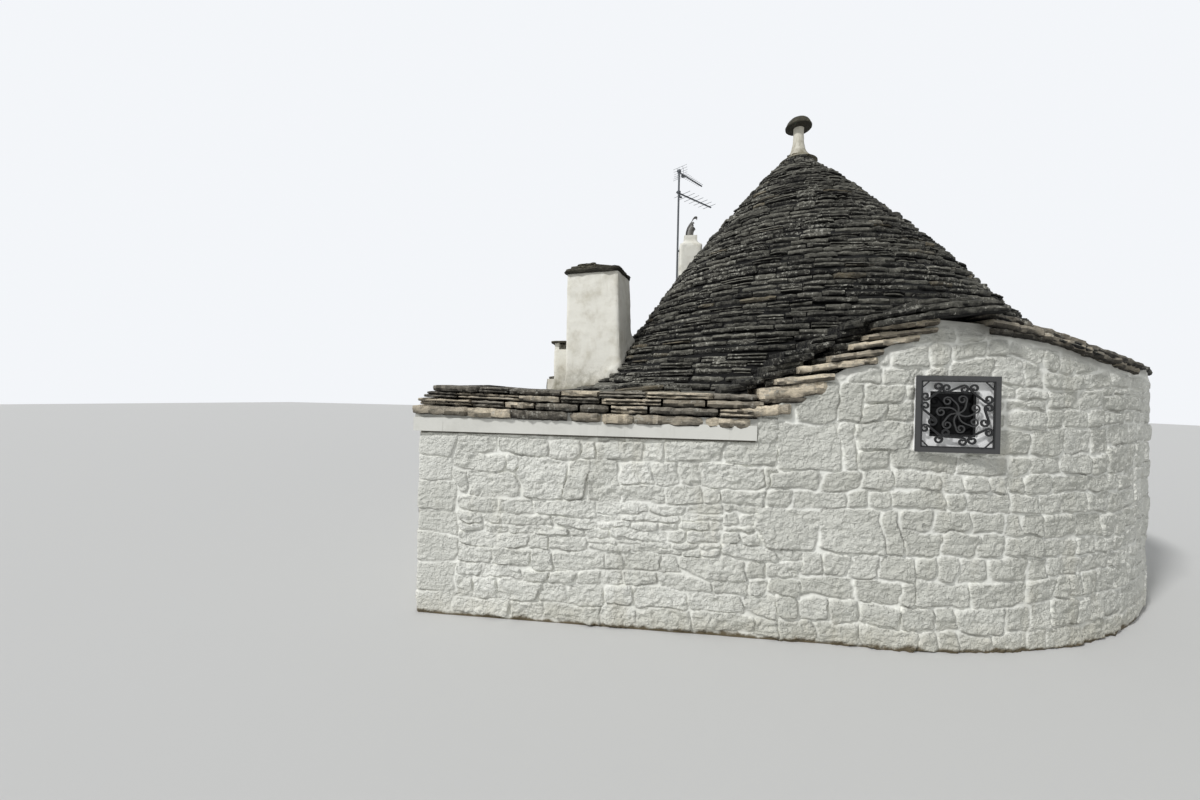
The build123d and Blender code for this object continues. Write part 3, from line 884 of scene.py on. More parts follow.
@dataclass
class StoneWalls:
    """Whitewashed rough stones laid in courses over the outer faces of the walls."""

    house: House
    finishes: Finishes
    fine: float = 0.0085
    front: float = 0.0095
    far: float = 0.011
    coarse: float = 0.024
    base: float = 0.006
    most: float = 0.038
    lip: float = 0.03
    lap: float = 0.02
    wing_head: float = 1.6
    gable_foot: float = 1.57
    door_stones: float = 1.86
    top: float = 2.4
    jamb: float = 0.22
    quoin_half: Pair = (0.26, 0.3)
    window_half: float = 0.247
    high_head: float = 1.9
    crown_x: Sequence[float] = (0.25, 0.56, 0.77, 1.04, 1.38, 1.6)
    crown_z: Sequence[float] = (2.285, 2.26, 2.2, 2.165, 2.085, 2.03)
    hump_reach: Pair = (0.21, 0.78)
    hump_z: Pair = (2.245, 2.012)
    side_head: float = 1.53
    bend_along: Sequence[tuple] = ((0.026, 0.45, 0.3, 3), (0.02, 0.13, 0.1, 4), (0.008, 0.045, 0.045, 5))
    bend_up: Sequence[tuple] = ((0.032, 0.6, 0.4, 6), (0.018, 0.15, 0.12, 7), (0.008, 0.05, 0.04, 8))
    rubble: Coursing = Coursing((0.19, 0.33), (0.1, 0.46), (0.16, 0.52, 0.32), 0.006, 0.01, 1.6)
    coursed: Coursing = Coursing((0.22, 0.34), (0.13, 0.38), (0.18, 0.74, 0.08), 0.011, 0.0125, 1.25)
    quoin: Coursing = Coursing((0.16, 0.24), (0.2, 0.46), (1.0, 0.0, 0.0), 0.008, 0.006, 0.6)

    def __post_init__(self) -> None:
        """Lay all stones once."""
        self.path = path = WallPath(self.house)
        self.stones: list[Stone] = []
        h, seam, corner = self.house, path.at_front(self.house.rake_start), path.side + path.turn / 2
        self.door = [path.at_angle(math.degrees(math.acos(x / h.radius))) for x in h.door[::-1]]
        near, far, jamb, wing = *self.door, self.jamb, self.wing_head
        before, after = corner - self.quoin_half[0], corner + self.quoin_half[1]
        self.lay(self.rubble, 0.0, before, 0.0, wing, 11)
        self.lay(self.quoin, before, after, 0.0, wing, 12, whole=True)
        self.lay(self.rubble, after, seam + 0.55, 0.0, wing, 13)
        self.lay(self.coursed, seam + 0.22, near - jamb, 0.0, self.gable_foot, 14, ragged=0.2)
        self.lay(self.coursed, seam, near - jamb, self.gable_foot, self.top, 19)
        self.lay(self.quoin, near - jamb, near, 0.0, self.door_stones, 15, whole=True)
        self.lay(self.coursed, near - jamb, far + jamb, self.door_stones, self.top, 16)
        self.lay(self.quoin, far, far + jamb, 0.0, self.door_stones, 17, whole=True)
        self.lay(self.coursed, far + jamb, path.at_angle(path.arc_end) + 0.1, 0.0, self.top, 18)

    def lay(self, plan: Coursing, s0: float, s1: float, z0: float, z1: float, seed: int,
            whole: bool = False, ragged: float = 0.0) -> None:
        """Divide a stretch of wall into stones; later stretches cut into earlier ones where they overlap.

        Args:
            plan: How the stretch is coursed.
            s0: Start along the wall.
            s1: End along the wall.
            z0: Foot.
            z1: Head.
            seed: Which random layout.
            whole: Whether each row is one stone wide.
            ragged: How unevenly the rows begin.
        """
        rng = np.random.default_rng(seed)
        z = z0
        while z < z1 - 0.03:
            top = z + rng.uniform(*plan.band)
            if z1 - top < 0.08:
                top = z1
            s = s0 + rng.uniform(-ragged, ragged)
            while s < s1 - 0.01:
                stretch = s1 if whole else min(s1, s + rng.uniform(0.5, 1.3))
                if s1 - stretch < 0.25:
                    stretch = s1
                count = 1 + int(rng.choice(3, p=plan.rows))
                cuts = np.linspace(z, top, count + 1)
                cuts[1:-1] += rng.uniform(-0.028, 0.028, count - 1)
                for low, high in zip(cuts[:-1], cuts[1:]):
                    t = s
                    wide = 1.25 if count == 1 else 1.0
                    while t < stretch - 0.01:
                        step = t + rng.uniform(*plan.width) * wide
                        if whole or stretch - step < plan.width[0] * 0.8:
                            step = stretch
                        self.stones.append(Stone(t, step, low, high, plan.joint * rng.uniform(0.7, 1.4),
                                                 plan.relief * rng.uniform(0.6, 1.35), plan.rough,
                                                 rng.uniform(-1, 1, 4), rng.uniform()))
                        t = step
                s = stretch
            z = top

    @staticmethod
    def facets(s: Array, z: Array) -> Array:
        """Marks that the hammer left on the stones.

        Args:
            s: Path lengths.
            z: Heights.

        Returns:
            Their height, about -1 to 1.
        """
        marks = (1 - 2 * np.abs(noise((s + 0.6 * z) / 0.065, z / 0.05, 31))) * 0.8
        marks += (1 - 2 * np.abs(noise((s - 0.5 * z) / 0.035, z / 0.03, 34))) * 0.45
        return marks + (fbm(s / 0.022, z / 0.02, 32, 2) * 0.6 + noise(s / 0.12, z / 0.08, 33) * 0.9)

    def height(self, s: Array, z: Array) -> tuple[Array, ...]:
        """How far the wall face stands out at points of the unrolled wall.

        Args:
            s: Path lengths, columns and rows.
            z: Heights, columns and rows.

        Returns:
            The stand-out in metres, the share of stone against joint, each stone's tone, and the painted
            shade under stones, under the roof's shelf and under the dressed band.
        """
        sw, zw = s + stacked(s, z, self.bend_along), z + stacked(s, z, self.bend_up)
        distant = smoothstep((s - self.path.at_angle(-62)) / 0.9)
        calm = 1 - 0.45 * distant
        floor = self.base + 0.0045 * calm * fbm(s / 0.16, z / 0.12, 21, 4)
        filled = 0.76 + 0.4 * noise(s / 0.38, z / 0.3, 22)
        facet = self.facets(s, z) * calm
        out, mask, tone, under = floor.copy(), np.zeros(s.shape), np.full(s.shape, 0.5), np.zeros(s.shape)
        for stone in self.stones:
            first, last = np.searchsorted(s[:, 0], (stone.start - 0.05, stone.end + 0.05))
            near = slice(first, last)
            cs, cz = sw[near], zw[near]
            inside = (cs >= stone.start) & (cs < stone.end) & (cz >= stone.foot) & (cz < stone.head)
            if not inside.any():
                continue
            share, face, painted_shade = stone.carve(cs[inside], cz[inside], filled[near][inside],
                                             facet[near][inside])
            # painted shadow along the stone's edges
            under[near][inside] = painted_shade
            out[near][inside] = floor[near][inside] + share * face
            mask[near][inside] = share
            tone[near][inside] = stone.shade
        out, mask, under = self.weather(s, z, floor, out, mask, under)
        grey_side = smoothstep((s - self.path.at_front(self.house.rake_start) + 0.8) / 1.1)
        tone = 0.08 + 0.46 * (tone * (1 - 0.6 * distant) + grey_side * (1 - 0.7 * distant))
        return np.clip(out, 0.002, self.most), mask, tone, under

    def weather(self, s: Array, z: Array, floor: Array, out: Array, mask: Array,
                under: Array) -> tuple[Array, Array, Array]:
        """Smooth the head, set it back under the band, paint shade under band and shelf, darken it below the
        slabs.

        Args:
            s: Path lengths.
            z: Heights.
            floor: Stand-out of the mortar.
            out: Stand-out of the wall.
            mask: Share of stone.
            under: Painted shadow under stones.

        Returns:
            The new stand-out, share of stone and painted shade.
        """
        h, path, head = self.house, self.path, self.crown(s[:, 0])[:, None]
        high = head > self.high_head
        bare = np.where(high, smoothstep((head - 0.02 - z) / 0.09), 1.0)
        out, mask = floor + (out - floor) * bare, mask * bare
        under = under * bare * (0.75 + 0.6 * noise(s / 0.14, z / 0.14, 35))
        # painted shade under the overhanging shelf at the gable's peak
        peak = smoothstep(1.15 - np.abs(s - path.at_front(0.46)) / 0.38)
        peak = peak * smoothstep((z - head + 0.14) / 0.13)
        # darker in a thin line just under a high wall head
        edge = np.where(high, smoothstep((z - head + 0.075) / 0.05), 0.0)
        shade = np.maximum(1.25 * peak, 0.9 * edge)
        under = np.maximum(under, shade * (0.85 + 0.3 * noise(s / 0.1, z / 0.05, 36)))
        sheltered = (s > path.side) & (s < path.at_front(h.rake_start))
        tucked = np.where(sheltered, 0.3 + 0.7 * smoothstep((h.band_foot + 0.01 - z) / 0.07), 1.0)
        out = np.where(sheltered, 0.004 + (out - 0.004) * tucked, out)
        # painted shadow line under the dressed band
        line = 1.6 * smoothstep((z - h.band_foot + 0.022) / 0.012)
        return out, mask, np.maximum(under, np.where(sheltered, line, 0.0))

    def crown(self, s: Array, banded: bool = False) -> Array:
        """Height of the wall's head along the path.

        Args:
            s: Path lengths.
            banded: Whether the front ends under the dressed band.

        Returns:
            The head's height at each.
        """
        x, y = self.path.points(s)[0].T
        front = np.interp(x, [self.house.rake_start, *self.crown_x], [self.wing_head, *self.crown_z])
        hump = np.interp(np.abs(x - self.house.axis_x), self.hump_reach, self.hump_z)
        head = np.where(s < self.path.side, self.side_head, np.where(y < 0, front, hump))
        return np.where((s >= self.path.side) & banded, self.house.band_foot + 0.02, head)

    def section(self, name: str, s0: float, s1: float, step: float, cut: Sequence[float] = (),
                split: float = 0.0, banded: bool = False) -> None:
        """Build one stretch of stone facing, which starts a little inside the stretch before it.

        Args:
            name: Name of the piece.
            s0: Start along the wall.
            s1: End along the wall.
            step: Grid size.
            cut: An opening's start, end, foot and head, if there is one.
            split: A height that must fall on a grid row, or 0.
            banded: Whether the front ends under the dressed band.
        """
        s0 = max(0.0, s0 - self.lap)
        marks = sorted({s0, s1, *[m for m in cut[:2] if s0 < m < s1]})
        columns = np.concatenate([np.linspace(a, b, max(1, round((b - a) / step)) + 1)[:-1]
                                  for a, b in zip(marks[:-1], marks[1:])] + [[s1]])
        crown = self.crown(columns, banded)
        rows = int(crown.max() / step)
        z = crown[:, None] * np.linspace(0, 1, rows + 1)[None, :]
        if split:
            knee = round(split / crown.max() * rows)
            low = np.linspace(0, split, knee + 1)
            z = np.stack([[*low, *np.linspace(split, top, rows - knee + 1)[1:]] for top in crown])
        s = np.repeat(columns[:, None], z.shape[1], 1)
        keep = np.ones((len(columns) - 1, z.shape[1] - 1), bool)
        if cut:
            a, b, foot, head = cut
            near = np.flatnonzero((columns >= a - 1e-6) & (columns <= b + 1e-6))
            for level in (foot, head):
                if level > 0.01:
                    z[near, np.abs(z[near] - level).argmin(1)] = level
            cs, cz = (columns[:-1] + columns[1:]) / 2, (z[:-1, :-1] + z[1:, 1:]) / 2
            keep = ~((cs[:, None] > a) & (cs[:, None] < b) & (cz > foot) & (cz < head))
        out, *layers = self.height(s, z)
        if cut:
            away = np.maximum.reduce([a - s, s - b, foot - z, z - head])
            out = np.where(away < 0.012, np.minimum(out, self.base), out)
        xy, normal = self.path.points(columns)
        grid = np.concatenate([xy[:, None] + normal[:, None] * out[..., None], z[..., None]], -1)
        lip = grid[:, -1:].copy()
        lip[:, 0, :2] = xy - normal * self.lip
        grid = np.concatenate([grid, lip], 1)
        stone, tone, under, keep = (np.concatenate([part, part[:, -1:]], 1) for part in (*layers, keep))
        parts = MeshParts()
        parts.add_grid(grid, keep, stone=stone, tone=tone, under=under)
        parts.place(name, self.finishes.wall, Slot.STONE_WALL)

    def make(self) -> None:
        """Build every stretch of facing."""
        path, h, half = self.path, self.house, self.window_half
        seam, end = path.at_front(h.rake_start), path.at_angle(path.arc_end)
        turn, front_end, door_start, door_end = (path.at_angle(degrees) for degrees in (-60, -12, 56, 112))
        reach = [h.radius * math.asin((h.window_x + side) / h.radius) for side in (-half, half)]
        window = (*(path.at_front(0) + x for x in reach), h.window_z - half, h.window_z + half)
        self.section("stone_face_left_side", 0.0, path.side - 0.3, self.coarse)
        self.section("stone_face_wing_front", path.side - 0.3, seam, self.fine, banded=True)
        self.section("stone_face_gable", seam, turn, self.front, window)
        self.section("stone_face_round", turn, front_end, self.far)
        self.section("stone_face_right", front_end, door_start, self.coarse)
        self.section("stone_face_doorway", door_start, door_end, self.coarse, (*self.door, 0.0, h.door_head),
                     h.door_head)
        self.section("stone_face_back_left", door_end, end, self.coarse)


@dataclass
class Slab:
    """One roof slab: its outer top edge, depth, thickness and look."""

    start: Array
    end: Array
    out: Array
    depth: float
    thick: float
    tilt: float
    tone: float
    warm: float
    seed: int


@dataclass
class SlabMason:
    """Cuts slabs with split, chipped edges."""

    segment: float = 0.05
    chip: float = 0.015
    ragged: float = 0.004
    end_wear: Pair = (0.004, 0.028)
    front: Sequence[float] = (-0.007, 0.0, 0.003, -0.003, -0.009)
    levels: Sequence[float] = (0.0, -0.12, -0.48, -0.86, -1.0)
    # painted light and shade across each slab's profile, from back top round the front to back bottom: lip
    # and upper front face lighter, lower face, lip and back darker
    painted_shading: Sequence[float] = (0.7, 0.9, 1.12, 1.12, 1.0, 0.8, 0.6, 0.4)
    painted_shade: Sequence[float] = (0.35, 0.05, 0.0, 0.0, 0.0, 0.3, 0.75, 0.9)

    def cut(self, parts: MeshParts, slab: Slab) -> None:
        """Add one slab to a mesh.

        Args:
            parts: The mesh that is being gathered.
            slab: What to cut.
        """
        rng = np.random.default_rng(slab.seed)
        along = slab.end - slab.start
        length = float(np.linalg.norm(along))
        steps = max(2, round(length / self.segment))
        t = np.linspace(0, 1, steps + 1)
        t[1:-1] += rng.uniform(-0.25, 0.25, steps - 1) / steps
        count = steps + 1
        d, th = slab.depth, slab.thick
        rise = d * slab.tilt
        a = [-d, -d * 0.45, *self.front, -d]
        b = [rise, rise * 0.45, *(level * th for level in self.levels), rise - th]
        a, b = (np.tile(profile, (count, 1)) for profile in (a, b))
        bite = (rng.uniform(-1, 1, (count, 1)) + rng.uniform(-0.4, 0.4, (count, 5))) * self.chip
        a[:, 2:7] += np.minimum(bite, self.chip * 0.6)
        b[:, 1:3] += rng.uniform(-1, 1, (count, 1)) * self.ragged
        b[:, 5:7] += rng.uniform(-1, 1, (count, 1)) * self.ragged
        taper = self.end_wear[1] * 4
        for end in (0, steps):
            a[end, 2:7] -= rng.uniform(*self.end_wear)
            b[end, 2] -= taper * th * rng.uniform(0.2, 1)
            b[end, 6] += taper * th * rng.uniform(0.2, 1)
        origin = slab.start[None] + along[None] * t[:, None]
        grid = origin[:, None] + a[..., None] * slab.out + b[..., None] * np.array(UP)
        painted_shading, painted_shade = np.array(self.painted_shading), np.array(self.painted_shade)
        # the tone layer carries the painted light and shade; tan also fades where the painted shade lies
        parts.add_loft(grid, tone=np.tile(slab.tone * painted_shading - painted_shade, count),
                       warm=np.tile(slab.warm * (1 - painted_shade), count))


@dataclass
class RoofForm:
    """Height of the roof's surface: the cone, blended into the wing, gables and skirt below it."""

    house: House
    tip: float = 5.4
    tip_xy: Pair = (0.31, -0.05)
    foot_xy: Pair = (0.425, -0.056)
    fall: float = 2.95
    spread: float = 2.798
    bulge: float = 0.28
    swell: Pair = (0.026, 0.044)
    rounds: int = 4
    wing_level: float = 1.705
    skirt_level: float = 2.055
    rise: float = 0.05
    rake_x: Sequence[float] = (0.25, 0.56, 1.04, 1.38, 1.6, 2.2)
    rake_z: Sequence[float] = (2.355, 2.345, 2.2, 2.125, 2.075, 2.05)
    hump_reach: Pair = (0.21, 0.86)
    hump_z: Pair = (2.345, 2.07)
    blend: Pair = (0.13, 0.5)
    directions: int = 720
    step: float = 0.02
    reach: float = 5.2

    def __post_init__(self) -> None:
        """Work the surface out on a fan of rays from the cone's axis."""
        self.theta = np.arange(self.directions) * FULL_TURN / self.directions - math.pi
        self.wing_end = math.atan2(self.house.side_meet, -self.house.left - self.house.axis_x)
        self.r = np.arange(0, self.reach, self.step)
        x = self.house.axis_x + self.r[None] * np.cos(self.theta)[:, None]
        y = self.r[None] * np.sin(self.theta)[:, None]
        self.z = self.surface(x, y)
        slope_r = np.gradient(self.z, self.step, axis=1)
        slope_t = (np.roll(self.z, -1, 0) - np.roll(self.z, 1, 0)) / (
            2 * (FULL_TURN / self.directions) * np.maximum(self.r, 0.05)[None])
        self.slope = np.hypot(slope_r, slope_t)

    def slope_at(self, radius: Array) -> Array:
        """Slope of the surface at a distance along each ray."""
        index = np.clip((radius / self.step).astype(int), 0, len(self.r) - 1)
        return self.slope[np.arange(self.directions), index]

    def cone(self, x: Array, y: Array) -> Array:
        """Height of the slightly leaning, bulging cone.

        Args:
            x: First coordinates in plan.
            y: Second coordinates in plan.

        Returns:
            The heights.
        """
        z = np.full(np.broadcast(x, y).shape, 3.8)
        for _ in range(self.rounds):
            share = np.clip((self.tip - z) / self.fall, -0.1, 1.4)
            cx, cy = (top + (foot - top) * share for top, foot in zip(self.tip_xy, self.foot_xy))
            r = np.hypot(x - cx, y - cy)
            belly = smoothstep((z - 2.7) / 0.8) * smoothstep((5.25 - z) / 0.4)
            swell = self.swell[0] + self.swell[1] * belly
            inner = np.maximum(self.spread ** 2 - 4 * self.bulge * (r - swell), 0.6)
            z = self.tip - self.fall * ((self.spread - np.sqrt(inner)) / (2 * self.bulge))
        return z

    def inset(self, x: Array, y: Array) -> Array:
        """Distance in from the outline of the walls.

        Args:
            x: First coordinates in plan.
            y: Second coordinates in plan.

        Returns:
            The distances, negative outside.
        """
        h = self.house
        round_part = h.radius - np.hypot(x, y)
        wing, side = np.minimum(x + h.left, y + h.radius), np.minimum(x + h.left, round_part)
        return np.where((x < 0) & (y < 0), wing, np.where((x < 0) & (y < h.side_meet), side, round_part))

    def base(self, x: Array, y: Array) -> Array:
        """Height of the low roofs: wing, front gable, rear gable and skirt.

        Args:
            x: First coordinates in plan.
            y: Second coordinates in plan.

        Returns:
            The heights.
        """
        h = self.house
        depth = np.clip(self.inset(x, y), 0, 1.5)
        wing = self.wing_level + 0.055 * np.clip((-2.3 - x) / 0.96, 0, 1.1) + self.rise * depth
        rake = np.interp(x, [h.rake_start, *self.rake_x], [self.wing_level, *self.rake_z])
        skirt = self.skirt_level + self.rise * depth
        hump = np.interp(np.abs(x - h.axis_x), self.hump_reach, self.hump_z)
        angle = np.degrees(np.arctan2(y, x - h.axis_x))
        on_wing = (angle > math.degrees(self.wing_end)) | ((angle <= -90) & (x < h.rake_start))
        low = np.where(on_wing, wing, skirt)
        low = np.where((y < 0) & (x >= h.rake_start) & (angle < -20), np.maximum(rake, low * (x > 0.3)), low)
        low = np.where((y > 0) & (angle > 20) & (angle < 160), np.maximum(low, hump), low)
        return low

    def surface(self, x: Array, y: Array) -> Array:
        """Height of the finished roof.

        Args:
            x: First coordinates in plan.
            y: Second coordinates in plan.

        Returns:
            The heights.
        """
        a, b = self.cone(x, y), self.base(x, y)
        h = self.house
        wing = smoothstep((h.rake_start - 0.2 - x) / 0.5) * smoothstep((h.side_meet - y) / 0.5)
        blend = self.blend[0] + (self.blend[1] - self.blend[0]) * wing
        return (a + b) / 2 + np.sqrt(((a - b) / 2) ** 2 + (blend / 2) ** 2) - blend * 0.12

    def rim(self, theta: Array, inset: float) -> Array:
        """Distance from the axis to the outline of the walls.

        Args:
            theta: Directions.
            inset: How far the outline is drawn in.

        Returns:
            The distance in each direction.
        """
        h = self.house
        c, s = np.cos(theta), np.sin(theta)
        ax = h.axis_x
        with np.errstate(divide="ignore", invalid="ignore"):
            to_front = np.where(s < -1e-6, (h.radius - inset) / -s, 1e9)
            to_left = np.where(c < -1e-6, (h.left + ax - inset) / -c, 1e9)
        square = np.minimum(to_front, to_left)
        ex, ey = ax + square * c, square * s
        circle = -ax * c + np.sqrt(np.maximum((h.radius - inset) ** 2 - ax ** 2 * s ** 2, 0))
        return np.where((ex < 0) & (ey < h.side_meet), square, circle)


@dataclass
class SlabRoof:
    """The slabs of the cone and of the low roofs round its foot."""

    house: House
    finishes: Finishes
    form: RoofForm
    course: float = 0.071
    top_level: float = 5.262
    low_level: float = 1.76
    upper_foot: float = 4.15
    middle_foot: float = 3.0
    thick_share: float = 0.77
    tilt: float = 0.1
    flat_depth: float = 0.34
    flat_thick: float = 0.048
    flat_tilt: float = 0.035
    flat_longest: float = 0.5
    flat_tan: float = 0.12
    bed_depths: Pair = (0.075, 0.13)
    sharp: float = 26
    steep: float = 0.34
    split_share: float = 0.22
    edge_rows: Sequence[float] = (-0.035, 0.2, 0.44, 0.68, 0.92, 1.16)

    def __post_init__(self) -> None:
        """Prepare the mason and the counters."""
        self.mason = SlabMason()
        self.rng = np.random.default_rng(5)
        self.seeds = itertools.count(1001)
        self.parts = {name: MeshParts() for name in ("upper", "middle", "lower", "skirt", "wing")}

    def sheltered(self, at: Array) -> float:
        """Say how much a slab lies in the valley behind the front gable's rake, darkened as painted shade."""
        reach = np.array([(at[0] + 1.15) / 0.35, (0.62 - at[0]) / 0.3, (-at[1] - 2.45) / 0.55])
        return float(np.prod(smoothstep(reach)))

    def pick_look(self, warm_chance: float) -> Pair:
        """Choose a slab's tone and warmth."""
        tone = float(np.clip(self.rng.normal(0.42, 0.34), 0.0, 1.0))
        return tone, self.rng.uniform(0.2, 0.7) if self.rng.uniform() < warm_chance else 0.0

    def lay_line(self, parts: MeshParts, line: Array, downhill: Array, depth: Array,
                 thick: float, tilt: float, longest: float, warm_chance: float = 0.04) -> None:
        """Lay slabs along a line in space.

        Args:
            parts: The mesh that is being gathered.
            line: Points of the outer top edge.
            downhill: Unit directions outwards in plan at each point.
            depth: Slab depth at each point.
            thick: Usual thickness.
            tilt: Fall of the slab tops.
            longest: Longest slab.
            warm_chance: Share of tan slabs.
        """
        run = lengths(line[:, :2])
        total = run[-1]
        at = 0.0
        while at < total - 0.04:
            length = min(self.rng.uniform(0.45, 1.0) * longest, total - at)
            if total - at - length < 0.12:
                length = total - at
            gap = self.rng.uniform(0.004, 0.024)
            a, b = at + gap / 2, at + length - gap / 2
            ends, middle = sample(np.array([a, b]), run, line), (a + b) / 2
            chord = ends[1] - ends[0]
            side = np.array([chord[1], -chord[0]]) / max(1e-6, float(np.hypot(chord[0], chord[1])))
            side *= -1 if side @ sample(middle, run, downhill) < 0 else 1
            centre = sample(middle, run, line[:, :2])
            bulge = float((centre - (ends[0, :2] + ends[1, :2]) / 2) @ side)
            shift = max(0.0, bulge) * 0.6 + self.rng.uniform(-0.024, 0.016)
            normal = np.array([side[0], side[1], 0.0])
            ends = ends + normal * shift
            ends[:, 2] += self.rng.uniform(-0.008, 0.008)
            ends[:, 2] += self.rng.uniform(-0.006, 0.006, 2)
            tone, warm = self.pick_look(warm_chance)
            # painted shade in the valley behind the rake
            tone -= 0.55 * self.sheltered(centre)
            deep = float(np.interp(middle, run, depth))
            full = thick * self.rng.uniform(0.78, 1.06)
            tilted = tilt + self.rng.uniform(-0.03, 0.05)
            share = self.rng.uniform(0.38, 0.6) if self.rng.uniform() < self.split_share else 1.0
            if share < 1.0:
                lower = ends - np.array([0, 0, full * share + 0.003])
                lower += normal * self.rng.uniform(-0.012, 0.018)
            self.mason.cut(parts, Slab(*ends, normal, deep, full * share, tilted, tone, warm,
                                       next(self.seeds)))
            if share < 1.0:
                self.mason.cut(parts, Slab(*lower, normal, deep, full * (1 - share), tilted,
                                           *self.pick_look(warm_chance), next(self.seeds)))
            at += length

    def lay_contours(self) -> None:
        """Lay the level courses of the cone and the steep flanks under it."""
        form, ax = self.form, self.house.axis_x
        level, row = self.top_level, 0
        while level > self.low_level:
            name = "upper" if level > self.upper_foot else "middle" if level > self.middle_foot else "lower"
            for rays, radius in self.contour_runs(level):
                theta = form.theta[rays]
                wave = 0.01 * noise(theta * 2.2 + 30, np.full(len(rays), row * 0.45), 91)
                wave += 0.004 * noise(theta * 9 + 30, np.full(len(rays), row * 0.8), 92)
                x, y = ax + radius * np.cos(theta), radius * np.sin(theta)
                line = np.stack([x, y, level + wave], -1)
                east = form.surface(x + 0.01, y) - form.surface(x - 0.01, y)
                north = form.surface(x, y + 0.01) - form.surface(x, y - 0.01)
                steep = np.maximum(np.hypot(east, north), 1e-5)
                downhill = np.stack([-east / steep, -north / steep], -1)
                depth = np.clip(self.course / (steep / 0.02) + 0.09, 0.13, 0.36)
                longest = float(np.clip(0.62 * float(radius.mean()), 0.1, 0.4))
                self.lay_line(self.parts[name], line, downhill, depth, self.course * self.thick_share,
                              self.tilt, longest)
            level -= self.course * self.rng.uniform(0.88, 1.12)
            row += 1

    def contour_runs(self, level: float) -> list[tuple[Array, Array]]:
        """Find where the surface has a height, as unbroken runs of rays.

        Args:
            level: The height.

        Returns:
            Runs as pairs of ray numbers and distances from the axis.
        """
        form = self.form
        z = np.minimum.accumulate(form.z, axis=1)
        radius = np.array([np.interp(-level, -row, form.r) for row in z])
        good = (radius < form.rim(form.theta, -0.01)) & (z[:, 0] > level) & (radius > 0.02)
        good &= form.slope_at(radius) > self.steep
        if good.all():
            order = np.arange(form.directions + 1) % form.directions
            return [(order, radius[order])]
        return [(run, radius[run]) for run in self.unbroken(good, 3)]

    @staticmethod
    def unbroken(mask: Array, least: int) -> list[Array]:
        """Split the rays that a mask keeps into unbroken runs.

        Args:
            mask: Whether each ray is kept.
            least: Fewest rays of a run.

        Returns:
            Ray numbers of each run.
        """
        order = (int(np.argmin(mask)) + 1 + np.arange(len(mask))) % len(mask)
        runs = np.split(order, np.flatnonzero(np.diff(mask[order].astype(int))) + 1)
        return [run for run in runs if mask[run[0]] and len(run) >= least]

    def lay_flats(self) -> None:
        """Lay the rows of the wing roof, skirt and gable saddles, parallel to the walls."""
        form, ax, h = self.form, self.house.axis_x, self.house
        for inset in reversed(self.edge_rows):
            rim = form.rim(form.theta, inset)
            x, y = ax + rim * np.cos(form.theta), rim * np.sin(form.theta)
            z = form.surface(x, y)
            rear = (y > 0) & (np.abs(x - ax) < 1.1)
            gentle = form.slope_at(rim) < self.steep + 0.08 + 0.2 * rear
            good = (z - form.base(x, y) < 0.11) & (gentle | (inset < 0.1))
            good &= ~((inset < 0.1) & (y < 0) & (x < 0.6))
            on_wing = (form.theta > form.wing_end) | ((form.theta < -math.pi / 2) & (x < h.rake_start + 0.05))
            masks = {"wing": good & on_wing & (inset > 0), "skirt": good & ~on_wing & (rim > 0.5)}
            for name, mask in masks.items():
                for rays in self.unbroken(mask, 4):
                    line = np.stack([x[rays], y[rays], z[rays] + 0.012], -1)
                    tangent = np.gradient(line[:, :2], axis=0)
                    out = np.stack([tangent[:, 1], -tangent[:, 0]], -1)
                    out /= np.maximum(np.hypot(out[:, 0], out[:, 1]), 1e-6)[:, None]
                    depth = np.full(len(rays), self.flat_depth)
                    self.lay_line(self.parts[name], line, out, depth, self.flat_thick, self.flat_tilt,
                                  self.flat_longest, self.flat_tan)

    def bed(self) -> None:
        """Build the bed under the slabs that closes the gaps between them; its near-black colour is painted
        shade.
        """
        form = self.form
        theta = form.theta[::3]
        share = np.linspace(0.0, 1.0, 46)
        radius = 0.03 + (form.rim(theta, 0.06) - 0.03)[:, None] * share[None]
        x = self.house.axis_x + radius * np.cos(theta)[:, None]
        y = radius * np.sin(theta)[:, None]
        surface = form.surface(x, y)
        top, under = (np.stack([x, y, surface - depth], -1) for depth in self.bed_depths)
        sheet = np.concatenate([top, under[:, ::-1], top[:, :1]], 1)
        level = np.abs(np.roll(sheet[..., 2], -1, 0) - sheet[..., 2]) < 0.12
        parts, none = MeshParts(), np.zeros(sheet.shape[:2])
        parts.add_grid(sheet, level[:, :-1] & level[:, 1:], True, tone=none, warm=none)
        parts.place("roof_bed", self.finishes.bed, Slot.ROOF, "cone_foot")

    def make(self) -> None:
        """Build the roof."""
        self.lay_contours()
        self.lay_flats()
        skirt = [f"skirt_roof_{side}" for side in ("front", "right", "back", "left")]
        replaced = {name: [f"cone_roof_{name}"] for name in ("upper", "middle", "lower")}
        replaced |= {"skirt": [*skirt, "rear_gable_slabs"], "wing": ["wing_roof"]}
        for name, nodes in replaced.items():
            self.parts[name].place(f"slabs_{name}", self.finishes.slab, Slot.ROOF, *nodes, sharp=self.sharp)
        self.bed()


